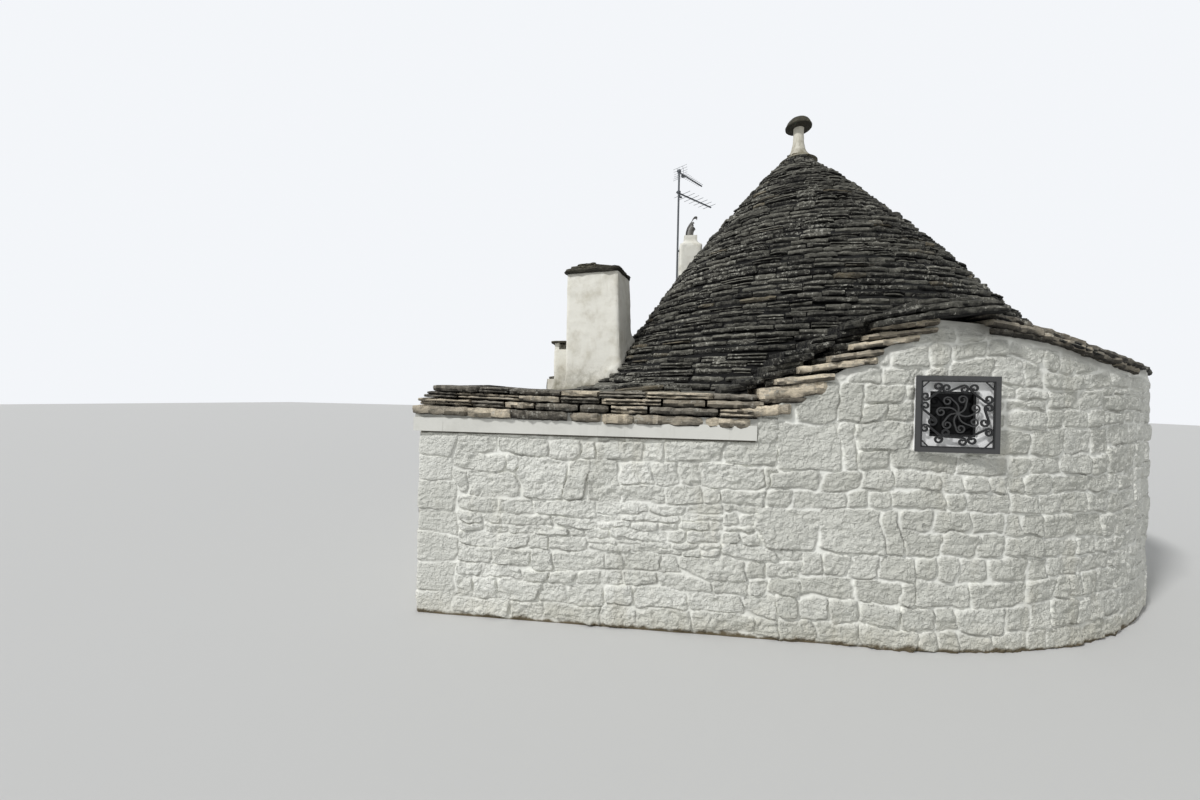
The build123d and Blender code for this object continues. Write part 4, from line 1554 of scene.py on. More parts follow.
@dataclass
class EdgeSlabs:
    """Tan and grey slabs at the edges: eaves courses, rake steps, gable peak and right coping."""

    house: House
    finishes: Finishes
    face: float = -3.612
    band_face: float = -3.6
    band_joints: Sequence[float] = (-3.295, -2.1, -1.151)
    rows: Sequence[Triple] = (
        (1.567, 1.531, 1.512), (1.62, 1.592, 1.575), (1.676, 1.65, 1.64), (1.73, 1.7, 1.7))
    row_marks: Pair = (-3.55, -2.3)
    row_ends: Sequence[float] = (-0.045, -0.02, 0.05, 0.0)
    row_tan: Sequence[float] = (0.85, 0.7, 0.45, 0.25)
    split_chance: float = 0.48
    foot_extra: float = 0.02
    mortar_points: int = 80
    sharp: float = 24
    steps: Sequence[tuple[float, ...]] = (
        (-1.079, -0.728, 1.579, 1.686, 0.072, 0.9, 1.0), (-0.937, -0.595, 1.682, 1.738, 0.036, 0.15, 0.1),
        (-0.945, -0.478, 1.703, 1.852, 0.088, 0.75, 0.9), (-0.832, -0.446, 1.811, 1.908, 0.052, 0.9, 1.0),
        (-0.679, -0.143, 1.897, 2.028, 0.05, 0.85, 0.95), (-0.474, -0.119, 1.983, 2.083, 0.046, 0.4, 0.45),
        (-0.325, 0.109, 2.068, 2.18, 0.045, 0.8, 0.9), (-0.229, 0.233, 2.137, 2.235, 0.042, 0.35, 0.55),
        (-0.186, 0.232, 2.206, 2.289, 0.045, 0.5, 0.75))
    shelf: Sequence[tuple[float, ...]] = (
        (-0.2, -3.68, 2.262, 0.16, -3.695, 2.322, 0.044, 0.4),
        (0.12, -3.7, 2.322, 0.42, -3.705, 2.35, 0.046, 0.2),
        (0.4, -3.7, 2.352, 0.63, -3.68, 2.362, 0.04, 0.45),
        (-0.26, -3.635, 2.3, 0.06, -3.65, 2.362, 0.042, 0.15),
        (0.04, -3.655, 2.366, 0.34, -3.665, 2.396, 0.044, 0.5),
        (0.33, -3.665, 2.396, 0.6, -3.645, 2.402, 0.042, 0.25),
        (0.1, -3.6, 2.42, 0.46, -3.6, 2.432, 0.04, 0.35))
    runs: Sequence[tuple[float, ...]] = (
        (0.54, 0.88, 2.35, 2.28, 0.046, 0.3, 0.0), (0.57, 0.98, 2.292, 2.228, 0.048, 0.6, 0.25),
        (0.6, 1.0, 2.236, 2.196, 0.044, 0.3, 0.0), (0.9, 1.34, 2.268, 2.17, 0.05, 0.45, 0.15),
        (0.95, 1.4, 2.214, 2.124, 0.048, 0.7, 0.3), (1.3, 1.7, 2.172, 2.102, 0.05, 0.3, 0.0),
        (1.36, 1.72, 2.118, 2.07, 0.044, 0.5, 0.1), (1.66, 2.06, 2.108, 2.048, 0.05, 0.35, 0.0),
        (1.7, 2.05, 2.054, 2.01, 0.042, 0.55, 0.25))

    def __post_init__(self) -> None:
        """Prepare the mason."""
        # a lighter painted shade under the edge slabs' lips
        self.mason = SlabMason(0.036, 0.0145, 0.0045, (0.004, 0.026),
                               painted_shade=(0.2, 0.0, 0.0, 0.0, 0.0, 0.12, 0.45, 0.65))
        self.rng = np.random.default_rng(77)
        self.seeds = itertools.count(9001)

    def slab(self, parts: MeshParts, start: Sequence[float], end: Sequence[float], out: Sequence[float],
             thick: float, depth: float, tone: float, warm: float, tilt: float = 0.03) -> None:
        """Cut one slab between two ends of its outer top edge."""
        self.mason.cut(parts, Slab(np.array(start, float), np.array(end, float), np.array([*out, 0.0]),
                                   depth, thick, tilt, tone, warm, next(self.seeds)))

    def eaves(self) -> None:
        """Build the eaves courses along the front and the left side of the wing."""
        h, rng = self.house, self.rng
        parts = MeshParts()
        at = (*self.row_marks, h.rake_start)
        for row, low in enumerate(self.rows):
            high = self.rows[row + 1] if row < 3 else tuple(z + 0.05 for z in low)
            proud = 0.052 + 0.008 * (row % 2) - 0.002 * row
            x = left = -h.left - 0.052 + 0.05 * row
            limit = h.rake_start + self.row_ends[row]
            while x < limit:
                length = rng.uniform(0.22, 0.52)
                stop = min(x + length, limit)
                if limit - stop < 0.2:
                    stop = limit
                tops = np.interp([x, stop], at, high)
                thick = float((np.interp(x, at, high) - np.interp(x, at, low))) * rng.uniform(0.82, 0.97)
                thick += self.foot_extra * (row == 0)
                warm = rng.uniform(0.6, 1.0) if rng.uniform() < self.row_tan[row] else 0.0
                gap = rng.uniform(0.003, 0.014) if row else 0.002
                split = row and rng.uniform() < self.split_chance
                layers = ((0.0, 0.54), (0.54, 1.0)) if split else ((0.0, 1.0),)
                for upper, lower in layers:
                    front = -h.radius - proud + rng.uniform(-0.022, 0.016)
                    front = min(front, self.band_face - 0.012) if row == 0 else front
                    ends = [(end, front, top - 0.003 - thick * upper)
                            for end, top in zip((x + gap, stop - gap), tops)]
                    depth = 0.3 + 0.1 * rng.uniform()
                    self.slab(parts, *ends, (0, -1), thick * (lower - upper) - 0.003, depth,
                              rng.uniform(0.0, 0.95), warm * rng.uniform(0.5, 1.0))
                x = stop
            y, back = -h.radius - proud + 0.26, h.side_meet + 0.05
            while y < back:
                stop = min(y + rng.uniform(0.24, 0.52), back)
                top = high[0] - 0.003
                side = left + rng.uniform(-0.016, 0.012)
                warm = rng.uniform(0.4, 0.9) if rng.uniform() < 0.4 else 0.0
                self.slab(parts, (side, stop - 0.004, top), (side, y + 0.004, top), (-1, 0),
                          (high[0] - low[0]) * rng.uniform(0.86, 1.0), 0.36, rng.uniform(0.1, 0.8), warm)
                y = stop
        parts.place("slabs_eaves", self.finishes.edge_slab, Slot.TAN, "eaves_courses", sharp=self.sharp)

    def mortar(self) -> None:
        """Build the strip of limewashed mortar between the band and the lowest eaves course."""
        h = self.house
        t = np.linspace(0, 1, self.mortar_points)
        x = -h.left - 0.028 + (h.rake_start + h.left + 0.032) * t
        y = -h.radius - 0.012 + 0.004 * noise(x / 0.05, x * 0, 81)
        line = np.stack([x, y, np.interp(x, [-h.left, h.rake_start], [1.558, 1.535])], -1)
        parts = MeshParts()
        # under=0.9 darkens the strip: painted shade under the lowest eaves course
        parts.add_bar(line, 0.075, 0.044, sides=4, stone=0.0, tone=0.5, under=0.9)
        parts.place("eaves_mortar", self.finishes.wall, Slot.STONE_WALL)
        joints = MeshParts()
        for at in self.band_joints:
            ends = [(at, self.band_face, h.band_foot + 0.002), (at + 0.002, self.band_face, 1.497)]
            joints.add_bar(ends, 0.004, 0.003, sides=4)
        joints.place("band_joints", self.finishes.band, Slot.STONE_WALL)

    def rake(self) -> None:
        """Build the stepped slabs up the left rake and the slab over the gable's peak."""
        parts, y = MeshParts(), self.face
        for x0, x1, low, high, thick, tone, warm in self.steps:
            front = y + self.rng.uniform(-0.012, 0.01)
            ends = (x0, front, low + thick), (x1, front + 0.01, high)
            self.slab(parts, *ends, (0, -1), thick, 0.42, tone, warm)
        parts.place("slabs_rake", self.finishes.edge_slab, Slot.TAN, "gable_rake_left", sharp=self.sharp)
        behind = MeshParts()
        levels = np.arange(1.8, 2.36, 0.052)
        lines = np.interp(levels, [1.7, 1.9, 2.08, 2.23, 2.36], [-0.86, -0.56, -0.24, 0.02, 0.18])
        for z, line in zip(levels, lines):
            x = line - self.rng.uniform(0.34, 0.52)
            while x < line:
                stop = x + self.rng.uniform(0.12, 0.3)
                set_back = 0.1 + 0.05 * self.rng.uniform(-1, 1)
                rise = 0.18 * (stop - x)
                # tones kept low: painted shade in the valley behind the rake
                self.slab(behind, (x, y + set_back, z), (stop, y + set_back, z + rise), (0, -1),
                          self.rng.uniform(0.036, 0.052), 0.34, self.rng.uniform(-0.2, 0.45), 0.0)
                x = stop + 0.006
        for x0, y0, z0, x1, y1, z1, thick, tone in self.shelf:
            self.slab(behind, (x0, y0, z0), (x1, y1, z1), (0, -1), thick, 0.5, tone, 0.0)
        behind.place("slabs_behind_rake", self.finishes.slab, Slot.ROOF, sharp=self.sharp)

    def coping(self) -> None:
        """Build the slabs that run down the right slope of the gable along the round wall."""
        parts = MeshParts()
        for x0, x1, z0, z1, thick, tone, warm in self.runs:
            ring = self.house.radius + 0.055 + self.rng.uniform(-0.015, 0.02)
            a, b = (np.array([x, -math.sqrt(ring ** 2 - x ** 2)]) for x in (x0, x1))
            middle = (a + b) / 2
            out = middle / np.hypot(*middle)
            self.slab(parts, (*a, z0), (*b, z1), out, thick, 0.36, tone, warm)
        parts.place("slabs_coping", self.finishes.edge_slab, Slot.TAN, "gable_rake_right", sharp=self.sharp)

    def make(self) -> None:
        """Build all edge slabs."""
        self.eaves()
        self.mortar()
        self.rake()
        self.coping()


def turned(points: Array, turn: float, at: Sequence[float] = (0.0, 0.0)) -> Array:
    """Turn points in plan about the origin and move them.

    Args:
        points: Places in plan.
        turn: Angle in radians.
        at: How far they are moved afterwards.

    Returns:
        The new places.
    """
    c, s = math.cos(turn), math.sin(turn)
    return np.stack([at[0] + c * points[..., 0] - s * points[..., 1],
                     at[1] + s * points[..., 0] + c * points[..., 1]], -1)


def rounded_ring(half: Sequence[float], corner: float, count: int) -> tuple[Array, Array]:
    """Points evenly round a rectangle with rounded corners.

    Args:
        half: Half sizes along x and y.
        corner: Corner radius.
        count: How many points.

    Returns:
        Points and outward normals, two columns each.
    """
    turn = (np.arange(4 * count) + 0.5) * math.pi / (2 * count)
    core = np.maximum(np.asarray(half, float) - corner, 0.0)
    normal = np.stack([np.cos(turn), np.sin(turn)], -1)
    outline = core * np.sign(normal) + corner * normal
    outline = np.concatenate([outline, outline[:1]])
    run = lengths(outline)
    points = sample(np.arange(count) * run[-1] / count, run, outline)
    out = points - np.clip(points, -core, core)
    return points, out / np.maximum(np.linalg.norm(out, axis=1), 1e-6)[:, None]


def rough_slab(parts: MeshParts, centre: Sequence[float], size: Sequence[float], turn: float,
               tilt: Pair, seed: int, tone: float, chip: float = 0.014) -> None:
    """Add one broken slab lying flat.

    Args:
        parts: The mesh that is being gathered.
        centre: Middle of its underside.
        size: Width, depth and thickness.
        turn: Turn about the upright in radians.
        tilt: Rise along its width and along its depth.
        seed: Which random edges.
        tone: Lightness of its stone.
        chip: Depth of its chipped edges.
    """
    count = 44
    points, normal = rounded_ring((size[0] / 2, size[1] / 2), 0.04, count)
    angle = np.arange(count) * FULL_TURN / count
    rings = []
    for level, share in ((0.0, 0.45), (0.02, 0.97), (0.35, 1.0), (0.62, 0.995), (0.97, 0.96), (1.02, 0.5)):
        wave = fbm(3 * np.cos(angle) + seed, 3 * np.sin(angle) + level * 1.5, seed, 3) * chip * 2.2
        wave += noise(angle * 5, np.full(count, level * 4), seed + 1) * chip * 0.6
        flat = points * share + normal * wave[:, None] * (share > 0.9)
        z = level * size[2] + tilt[0] * flat[:, 0] + tilt[1] * flat[:, 1]
        z = z + 0.12 * size[2] * noise(flat[:, 0] / 0.09, flat[:, 1] / 0.09, seed + 2)
        rings.append(np.concatenate([turned(flat, turn, centre), centre[2] + z[:, None]], -1))
    parts.add_loft(np.array(rings), tone=tone, warm=0.0)


@dataclass
class Chimneys:
    """Hand-laid render coats, rough cap slabs and the bent cowl."""

    finishes: Finishes
    form: RoofForm
    stack_at: Pair = (-2.376, -1.037)
    stack_turn: float = math.radians(-12.6)
    stack_foot: Pair = (0.735, 0.58)
    stack_head: Pair = (0.665, 0.54)
    stack_lean: Pair = (-0.046, 0.005)
    stack_levels: Pair = (1.525, 3.275)
    small_at: Pair = (-2.96, -0.48)
    small_size: float = 0.25
    small_top: float = 2.47
    small_slab: Triple = (0.36, 0.33, 0.03)
    rear_at: Pair = (-1.08, 1.24)
    rear_size: float = 0.36
    rear_top: float = 4.42
    collar_top: float = 4.588
    skin: float = 0.011
    pipe: Sequence[Pair] = (
        (0.0, 0.0), (0.0, 0.045), (0.004, 0.085), (0.014, 0.12), (0.03, 0.15), (0.052, 0.176))
    pipe_radius: float = 0.066
    pipe_wall: float = 0.009
    pipe_taper: float = 0.001
    hood: Sequence[Pair] = (
        (-0.082, 0.03), (-0.076, 0.095), (-0.056, 0.16), (-0.022, 0.215), (0.014, 0.262), (0.036, 0.312),
        (0.062, 0.345), (0.096, 0.35), (0.112, 0.326))
    cheek: Sequence[Pair] = ((-0.06, 0.11), (-0.03, 0.178), (0.01, 0.222), (0.056, 0.24))

    def coat(self, parts: MeshParts, at: Pair, turn: float, levels: Sequence[float],
             halves: Sequence[Sequence[float]], shifts: Sequence[Sequence[float]], count: int) -> None:
        """Add an uneven coat of render round a stack, thickened where it meets the roof.

        Args:
            parts: The mesh that is being gathered.
            at: Middle of the stack.
            turn: Its turn about the upright.
            levels: Heights of the rings.
            halves: Half sizes of the stack at each ring.
            shifts: How far the stack has moved at each ring.
            count: Points round each ring.
        """
        rings = []
        for z, half, shift in zip(levels, halves, shifts):
            points, normal = rounded_ring((half[0] + self.skin, half[1] + self.skin), 0.035, count)
            run = np.arange(count) * 2 * (half[0] + half[1]) * 2 / count
            wave = 0.007 * fbm(run / 0.22, np.full(count, z / 0.22), 51, 3)
            wave += 0.003 * fbm(run / 0.05, np.full(count, z / 0.05), 52, 2)
            flat = turned(points + normal * wave[:, None] + np.asarray(shift), turn, at)
            above = z - self.form.surface(flat[:, 0], flat[:, 1])
            spread = 0.035 * np.exp(-np.maximum(above - 0.02, 0) / 0.05)
            spread *= 1 + 0.6 * noise(run / 0.07, run * 0, 53)
            flat = flat + turned(normal, turn) * spread[:, None]
            rings.append(np.concatenate([flat, np.full((count, 1), z)], -1))
        parts.add_loft(np.array(rings))

    def main_stack(self) -> None:
        """Coat the main chimney and lay its cap slabs."""
        low, high = self.stack_levels
        levels = np.linspace(low + 0.03, high - 0.003, 60)
        share = (levels - low) / (high - low)
        halves = [[(f + (t - f) * k) / 2 for f, t in zip(self.stack_foot, self.stack_head)] for k in share]
        shifts = [[d * k for d in self.stack_lean] for k in share]
        parts = MeshParts()
        self.coat(parts, self.stack_at, self.stack_turn, levels, halves, shifts, 100)
        parts.place("main_chimney_coat", self.finishes.render, Slot.RENDER)
        cap = MeshParts()
        for dx, dy, dz, size, tilt, seed, tone in (
                (-0.01, -0.01, -0.004, (0.73, 0.62, 0.062), (0.0, 0.0), 61, 0.15),
                (0.19, 0.0, 0.046, (0.33, 0.56, 0.036), (-0.16, 0.0), 62, 0.35),
                (-0.085, -0.01, 0.058, (0.47, 0.51, 0.044), (-0.05, 0.02), 63, 0.45),
                (-0.125, -0.05, 0.104, (0.25, 0.32, 0.04), (0.07, 0.0), 64, 0.2)):
            middle = np.array([self.stack_lean[0] + dx, self.stack_lean[1] + dy])
            centre = (*turned(middle, self.stack_turn, self.stack_at), high + dz)
            rough_slab(cap, centre, size, self.stack_turn, tilt, seed, tone)
        stone = self.finishes.dark_stone
        cap.place("main_chimney_cap_slabs", stone, Slot.DARK_STONE, "main_chimney_cap", sharp=40)

    def small_flue(self) -> None:
        """Coat the small flue below its vent and lay its slab."""
        parts = MeshParts()
        levels = np.linspace(1.6, self.small_top - 0.098, 26)
        half = self.small_size / 2
        self.coat(parts, self.small_at, 0.0, levels, [(half, half)] * len(levels), [(0, 0)] * len(levels), 44)
        parts.place("small_flue_coat", self.finishes.render, Slot.RENDER)
        slab = MeshParts()
        rough_slab(slab, (*self.small_at, self.small_top), self.small_slab, 0.05, (0.02, 0.0), 65, 0.3, 0.009)
        slab.place("small_flue_rough_slab", self.finishes.dark_stone, Slot.DARK_STONE, "small_flue_slab",
                   sharp=40)

    def rear_stack(self) -> None:
        """Coat the rear chimney up to its collar."""
        half, neck = self.rear_size / 2, 0.112
        levels = [*np.linspace(2.3, self.rear_top - 0.03, 46), 4.405, 4.418, 4.44, 4.462, 4.48, 4.5,
                  *np.linspace(4.52, self.collar_top, 5)]
        halves = [half] * 46 + [half - 0.002, half - 0.012, half - 0.035, 0.128, neck, neck - 0.006]
        halves += [neck - 0.008] * 5
        parts = MeshParts()
        self.coat(parts, self.rear_at, 0.0, levels, [(h, h) for h in halves], [(0, 0)] * len(levels), 60)
        parts.place("rear_chimney_coat", self.finishes.render, Slot.RENDER)

    def cowl(self) -> None:
        """Build the bent sheet cowl with its dark mouth and curved hood."""
        parts = MeshParts()
        x, y = self.rear_at
        foot = self.collar_top
        path = np.array([(x - 0.012 + dx, y, foot + dz) for dx, dz in self.pipe])
        ahead = np.gradient(path, axis=0)
        ahead /= np.linalg.norm(ahead, axis=1)[:, None]
        side = np.cross(ahead, INTO_WALL)
        turn = (np.arange(24) + 0.5) * FULL_TURN / 24

        def ring(k: int, radius: float) -> Array:
            """Give one ring of the pipe."""
            return (path[k] + side[k] * (np.cos(turn) * radius)[:, None]
                    + np.array(INTO_WALL) * (np.sin(turn) * radius)[:, None])

        outer = [ring(k, self.pipe_radius - self.pipe_taper * k) for k in range(6)]
        hollow = self.pipe_radius - self.pipe_wall
        inner = [ring(k, hollow - self.pipe_taper * k) for k in range(5, 0, -1)]
        parts.add_loft(np.array(outer + inner))
        parts.add_bar([(x + dx, y, foot + dz) for dx, dz in self.hood], 0.006, 0.105, sides=4)
        for dy in (-0.05, 0.05):
            cheek = [(x + dx, y + dy, foot + dz) for dx, dz in self.cheek]
            parts.add_bar(cheek, 0.034, 0.004, sides=4)
        parts.add_bar([(x, y, foot + 0.002), (x, y, foot + 0.016)], 0.15, 0.15, sides=24)
        parts.place("rear_cowl_sheet", self.finishes.sheet, Slot.SHEET, "rear_chimney_cowl", sharp=40)

    def make(self) -> None:
        """Build all chimney pieces."""
        self.main_stack()
        self.small_flue()
        self.rear_stack()
        self.cowl()


@dataclass
class Aerials:
    """Two aerials with round booms, rods, a reflector and clamps, and the mast's clamps."""

    finishes: Finishes
    mast: Pair = (-1.3, 1.24)
    mast_top: float = 5.8
    upper_drop: float = 0.03
    lower_drop: float = 0.405
    upper_length: float = 0.755
    lower_length: float = 0.935
    upper_turn: float = math.radians(51)
    lower_turn: float = math.radians(45)
    stand: float = 0.025

    def boom(self, parts: MeshParts, drop: float, length: float, turn: float, rods: Sequence[Pair],
             thick: float) -> Callable[[float, float, float], Triple]:
        """Add one boom with its rods.

        Args:
            parts: The mesh that is being gathered.
            drop: How far it hangs below the head of the mast.
            length: Its length.
            turn: Its direction.
            rods: Place along the boom and length of each rod.
            thick: Size of the boom.

        Returns:
            A function from the boom's own x, y and z to world points.
        """
        def at(x: float, y: float, z: float) -> Triple:
            """Turn a place on the boom into a world point."""
            return (*turned(np.array([x, y + self.stand]), turn, self.mast), self.mast_top - drop + z)

        parts.add_bar([at(-0.03, 0, 0), at(length / 2, 0, 0), at(length, 0, 0)], thick, thick, UP, 4)
        parts.add_bar([at(length - 0.004, 0, 0), at(length + 0.006, 0, 0)], thick + 0.008, None, UP, 8)
        for x, span in rods:
            parts.add_bar([at(x, y, 0.004) for y in (-span / 2, 0, span / 2)], 0.007, None, UP, 6)
            parts.add_bar([at(x - 0.01, 0, 0.004), at(x + 0.01, 0, 0.004)], 0.02, 0.016, UP, 4)
        parts.add_bar([at(-0.024, -self.stand, 0), at(0.024, -self.stand, 0)], 0.05, 0.044, UP, 4)
        return at

    def make(self) -> None:
        """Build both aerials."""
        upper = MeshParts()
        rods = [(0.22 + 0.055 * k, 0.15 - 0.005 * k) for k in range(10)]
        at = self.boom(upper, self.upper_drop, self.upper_length, self.upper_turn, rods, 0.016)
        for z in (-0.1, -0.06, -0.02, 0.02, 0.06, 0.1):
            upper.add_bar([at(0.085 - abs(z) * 0.3, y, z) for y in (-0.145, 0.145)], 0.005, None, UP, 6)
        for y in (-0.06, 0.06):
            upper.add_bar([at(0.055, y, -0.1), at(0.085, y, 0.0), at(0.055, y, 0.1)], 0.006, sides=6)
        upper.add_bar([at(0.13, 0, -0.022), at(0.185, 0, -0.022)], 0.052, 0.036, UP, 4)
        upper.place("upper_aerial_rods", self.finishes.aerial, Slot.AERIAL, "upper_aerial", sharp=40)
        lower = MeshParts()
        rods = [(0.12 + 0.128 * k, 0.37 - 0.012 * k) for k in range(7)]
        at = self.boom(lower, self.lower_drop, self.lower_length, self.lower_turn, rods, 0.02)
        lower.add_bar([at(0.03, 0, -0.055), at(0.105, 0, -0.055)], 0.03, 0.022, UP, 4)
        lower.add_bar([at(0.055, 0, -0.048), at(0.055, 0, -0.006)], 0.012, sides=6)
        lower.place("lower_aerial_rods", self.finishes.aerial, Slot.AERIAL, "lower_aerial", sharp=40)


@dataclass
class Pinnacle:
    """Hand-shaped render neck and rounded cap stone on the tip."""

    house: House
    finishes: Finishes
    neck: Sequence[Pair] = (
        (0.02, 5.195), (0.262, 5.2), (0.226, 5.226), (0.19, 5.252), (0.16, 5.282), (0.135, 5.312),
        (0.116, 5.34), (0.102, 5.375), (0.091, 5.415), (0.082, 5.46), (0.075, 5.51), (0.071, 5.56),
        (0.069, 5.62), (0.071, 5.68), (0.074, 5.704), (0.02, 5.706))
    cap: Sequence[Pair] = (
        (0.02, 5.704), (0.145, 5.7), (0.17, 5.703), (0.182, 5.714), (0.184, 5.732), (0.176, 5.744),
        (0.171, 5.752), (0.162, 5.776), (0.144, 5.804), (0.116, 5.83), (0.08, 5.849), (0.034, 5.858))

    def lathe(self, profile: Sequence[Pair], wave: float, seed: int) -> MeshParts:
        """Turn a profile about the cone's axis with an uneven surface.

        Args:
            profile: Radii and heights.
            wave: Depth of the unevenness.
            seed: Which unevenness.

        Returns:
            The gathered mesh.
        """
        turn = np.arange(48) * FULL_TURN / 48
        rings = []
        for radius, z in profile:
            swell = fbm(2 * np.cos(turn) + 9, 2 * np.sin(turn) + z / 0.07, seed, 3)
            r = radius + min(1.0, radius / 0.05) * wave * swell
            x, y = self.house.axis_x + r * np.cos(turn), r * np.sin(turn)
            rings.append(np.stack([x, y, np.full(48, z)], -1))
        parts = MeshParts()
        parts.add_loft(np.array(rings), tone=0.4, warm=0.0)
        return parts

    def make(self) -> None:
        """Build the neck and the cap."""
        neck, cap = self.lathe(self.neck, 0.006, 71), self.lathe(self.cap, 0.008, 72)
        neck.place("pinnacle_coat", self.finishes.neck, Slot.RENDER, "pinnacle_neck")
        cap.place("pinnacle_capstone", self.finishes.dark_stone, Slot.DARK_STONE, "pinnacle_cap", sharp=50)


@dataclass
class WindowIron:
    """Scrolls, rosette, braces and inner frame of the window grille, and the pane behind it."""

    house: House
    finishes: Finishes
    plane: float = -3.609
    curl: float = 0.027
    bar: float = 0.013
    inner_half: Pair = (0.227, 0.2215)
    pane_half: float = 0.155
    pane_plane: float = -3.535
    heart: Pair = (0.0, 0.006)
    petals: Sequence[Pair] = (
        (-0.065, 0.088), (0.027, 0.099), (0.109, 0.041), (0.102, -0.051), (0.02, -0.095),
        (-0.065, -0.071), (-0.105, 0.014))
    corners: Sequence[tuple[float, float, float, float]] = (
        (-0.126, 0.184, -0.204, 0.119), (0.102, 0.177, 0.19, 0.105),
        (0.194, -0.119, 0.095, -0.173), (-0.204, -0.099, -0.119, -0.17))
    sides: Sequence[tuple[float, float, float, float]] = (
        (-0.071, 0.177, 0.037, 0.17), (0.194, 0.044, 0.167, -0.051),
        (0.031, -0.184, -0.071, -0.126), (-0.16, -0.051, -0.204, 0.054))

    @staticmethod
    def wind(centre: Array, start: float, turns: float, radius: Array) -> Array:
        """Wind a curl inwards round a centre, from a direction on its rim."""
        angle = start + np.linspace(0, 1, len(radius)) * turns * FULL_TURN
        return centre + radius[:, None] * np.stack([np.cos(angle), np.sin(angle)], -1)

    def scroll(self, ends: Sequence[float], crossing: bool, away: Array) -> Array:
        """Join two curls by a bar that runs on into both.

        Args:
            ends: The two curls' middles.
            crossing: Whether the bar passes between the curls, as in an S.
            away: Direction of the bar's side of the first curl.

        Returns:
            Points of the whole scroll.
        """
        first, last = np.array(ends[:2]), np.array(ends[2:])
        gap = last - first
        along = gap / np.linalg.norm(gap)
        normal = np.array([-along[1], along[0]])
        normal *= 1 if normal @ away > 0 else -1
        lean = 2 * self.curl / np.linalg.norm(gap) if crossing else 0.0
        rim = lean * along + math.sqrt(max(0.0, 1 - lean ** 2)) * normal
        far = -rim if crossing else rim
        heading = (last + self.curl * far) - (first + self.curl * rim)
        radius = self.curl * (1 - 0.68 * np.linspace(0, 1, 18) ** 1.2)
        curls = []
        for centre, side, way in ((first, rim, -heading), (last, far, heading)):
            turns = 1.15 if side[0] * way[1] - side[1] * way[0] > 0 else -1.15
            curls.append(self.wind(centre, math.atan2(side[1], side[0]), turns, radius))
        return np.concatenate([curls[0][::-1], curls[1]])

    def petal(self, centre: Sequence[float]) -> Array:
        """Draw one petal of the rosette, from the middle into its curl.

        Args:
            centre: Middle of the curl.

        Returns:
            Points of the petal.
        """
        start, radius = np.array(self.heart), self.curl * 1.12
        away = start - np.array(centre)
        angle = math.atan2(away[1], away[0]) + math.acos(min(1.0, radius / float(np.linalg.norm(away))))
        curl = self.wind(np.array(centre), angle, 1.25, radius * (1 - 0.62 * np.linspace(0, 1, 22)))
        t = np.linspace(0, 0.88, 7)[:, None]
        chord = curl[0] - start
        bow = np.array([chord[1], -chord[0]]) * 0.22
        return np.concatenate([start + chord * t + bow * np.sin(t * math.pi) * (1 - 0.3 * t), curl])

    def bend(self, parts: MeshParts, line: Array, width: float, depth: float = 0.008) -> None:
        """Add a flat bar along a line in the window's plane."""
        x, z = self.house.window_x + line[:, 0], self.house.window_z + line[:, 1]
        parts.add_bar(np.stack([x, np.full(len(line), self.plane), z], -1), width, depth, sides=4)

    def ironwork(self) -> None:
        """Build scrolls, braces and the inner frame."""
        dark, light = MeshParts(), MeshParts()
        for ends in (*self.corners, *self.sides):
            towards = -np.array([ends[0] + ends[2], ends[1] + ends[3]])
            self.bend(dark, self.scroll(ends, ends in self.sides, towards), self.bar)
        w, h = self.inner_half
        for line in (((-w, -h), (-w, h)), ((w, -h), (w, h)), ((-w, h), (w, h)), ((-w, -h), (w, -h))):
            self.bend(dark, np.array(line, float), 0.008, 0.012)
        for sx, sz, leg in ((-1, 1, 0.046), (1, 1, 0.056), (-1, -1, 0.046), (1, -1, 0.056)):
            self.bend(dark, np.array([(sx * w, sz * (h - leg)), (sx * (w - leg), sz * h)]), 0.007)
        dark.place("grille_scrolls", self.finishes.scroll_iron, Slot.IRON, sharp=40)
        for centre in self.petals:
            self.bend(light, self.petal(centre), 0.008)
        hub = np.array([(self.heart[0] - 0.012, self.heart[1]), (self.heart[0] + 0.012, self.heart[1])])
        self.bend(light, hub, 0.024, 0.012)
        light.place("grille_rosette", self.finishes.rosette_iron, Slot.IRON, sharp=40)

    def pane(self) -> None:
        """Build the dark glass and its thin frame just inside the opening."""
        x, z, half, back = self.house.window_x, self.house.window_z, self.pane_half, self.pane_plane
        glass, frame = MeshParts(), MeshParts()
        ends = [(x - half + 0.004, back, z), (x + half - 0.004, back, z)]
        glass.add_bar(ends, 2 * half - 0.008, 0.006, sides=4)
        glass.place("window_glass", self.finishes.glass, Slot.IRON, sharp=40)
        edge, long = half - 0.008, 2 * half
        for dx, dz, wide, high in ((-edge, 0, 0.016, long), (edge, 0, 0.016, long),
                                   (0, edge, long - 0.032, 0.016), (0, -edge, long - 0.032, 0.016)):
            ends = [(x + dx + side * wide / 2, back, z + dz) for side in (-1, 1)]
            frame.add_bar(ends, high, 0.02, sides=4)
        frame.place("window_glass_frame", self.finishes.scroll_iron, Slot.IRON, sharp=40)

    def make(self) -> None:
        """Build the ironwork and the pane."""
        self.ironwork()
        self.pane()


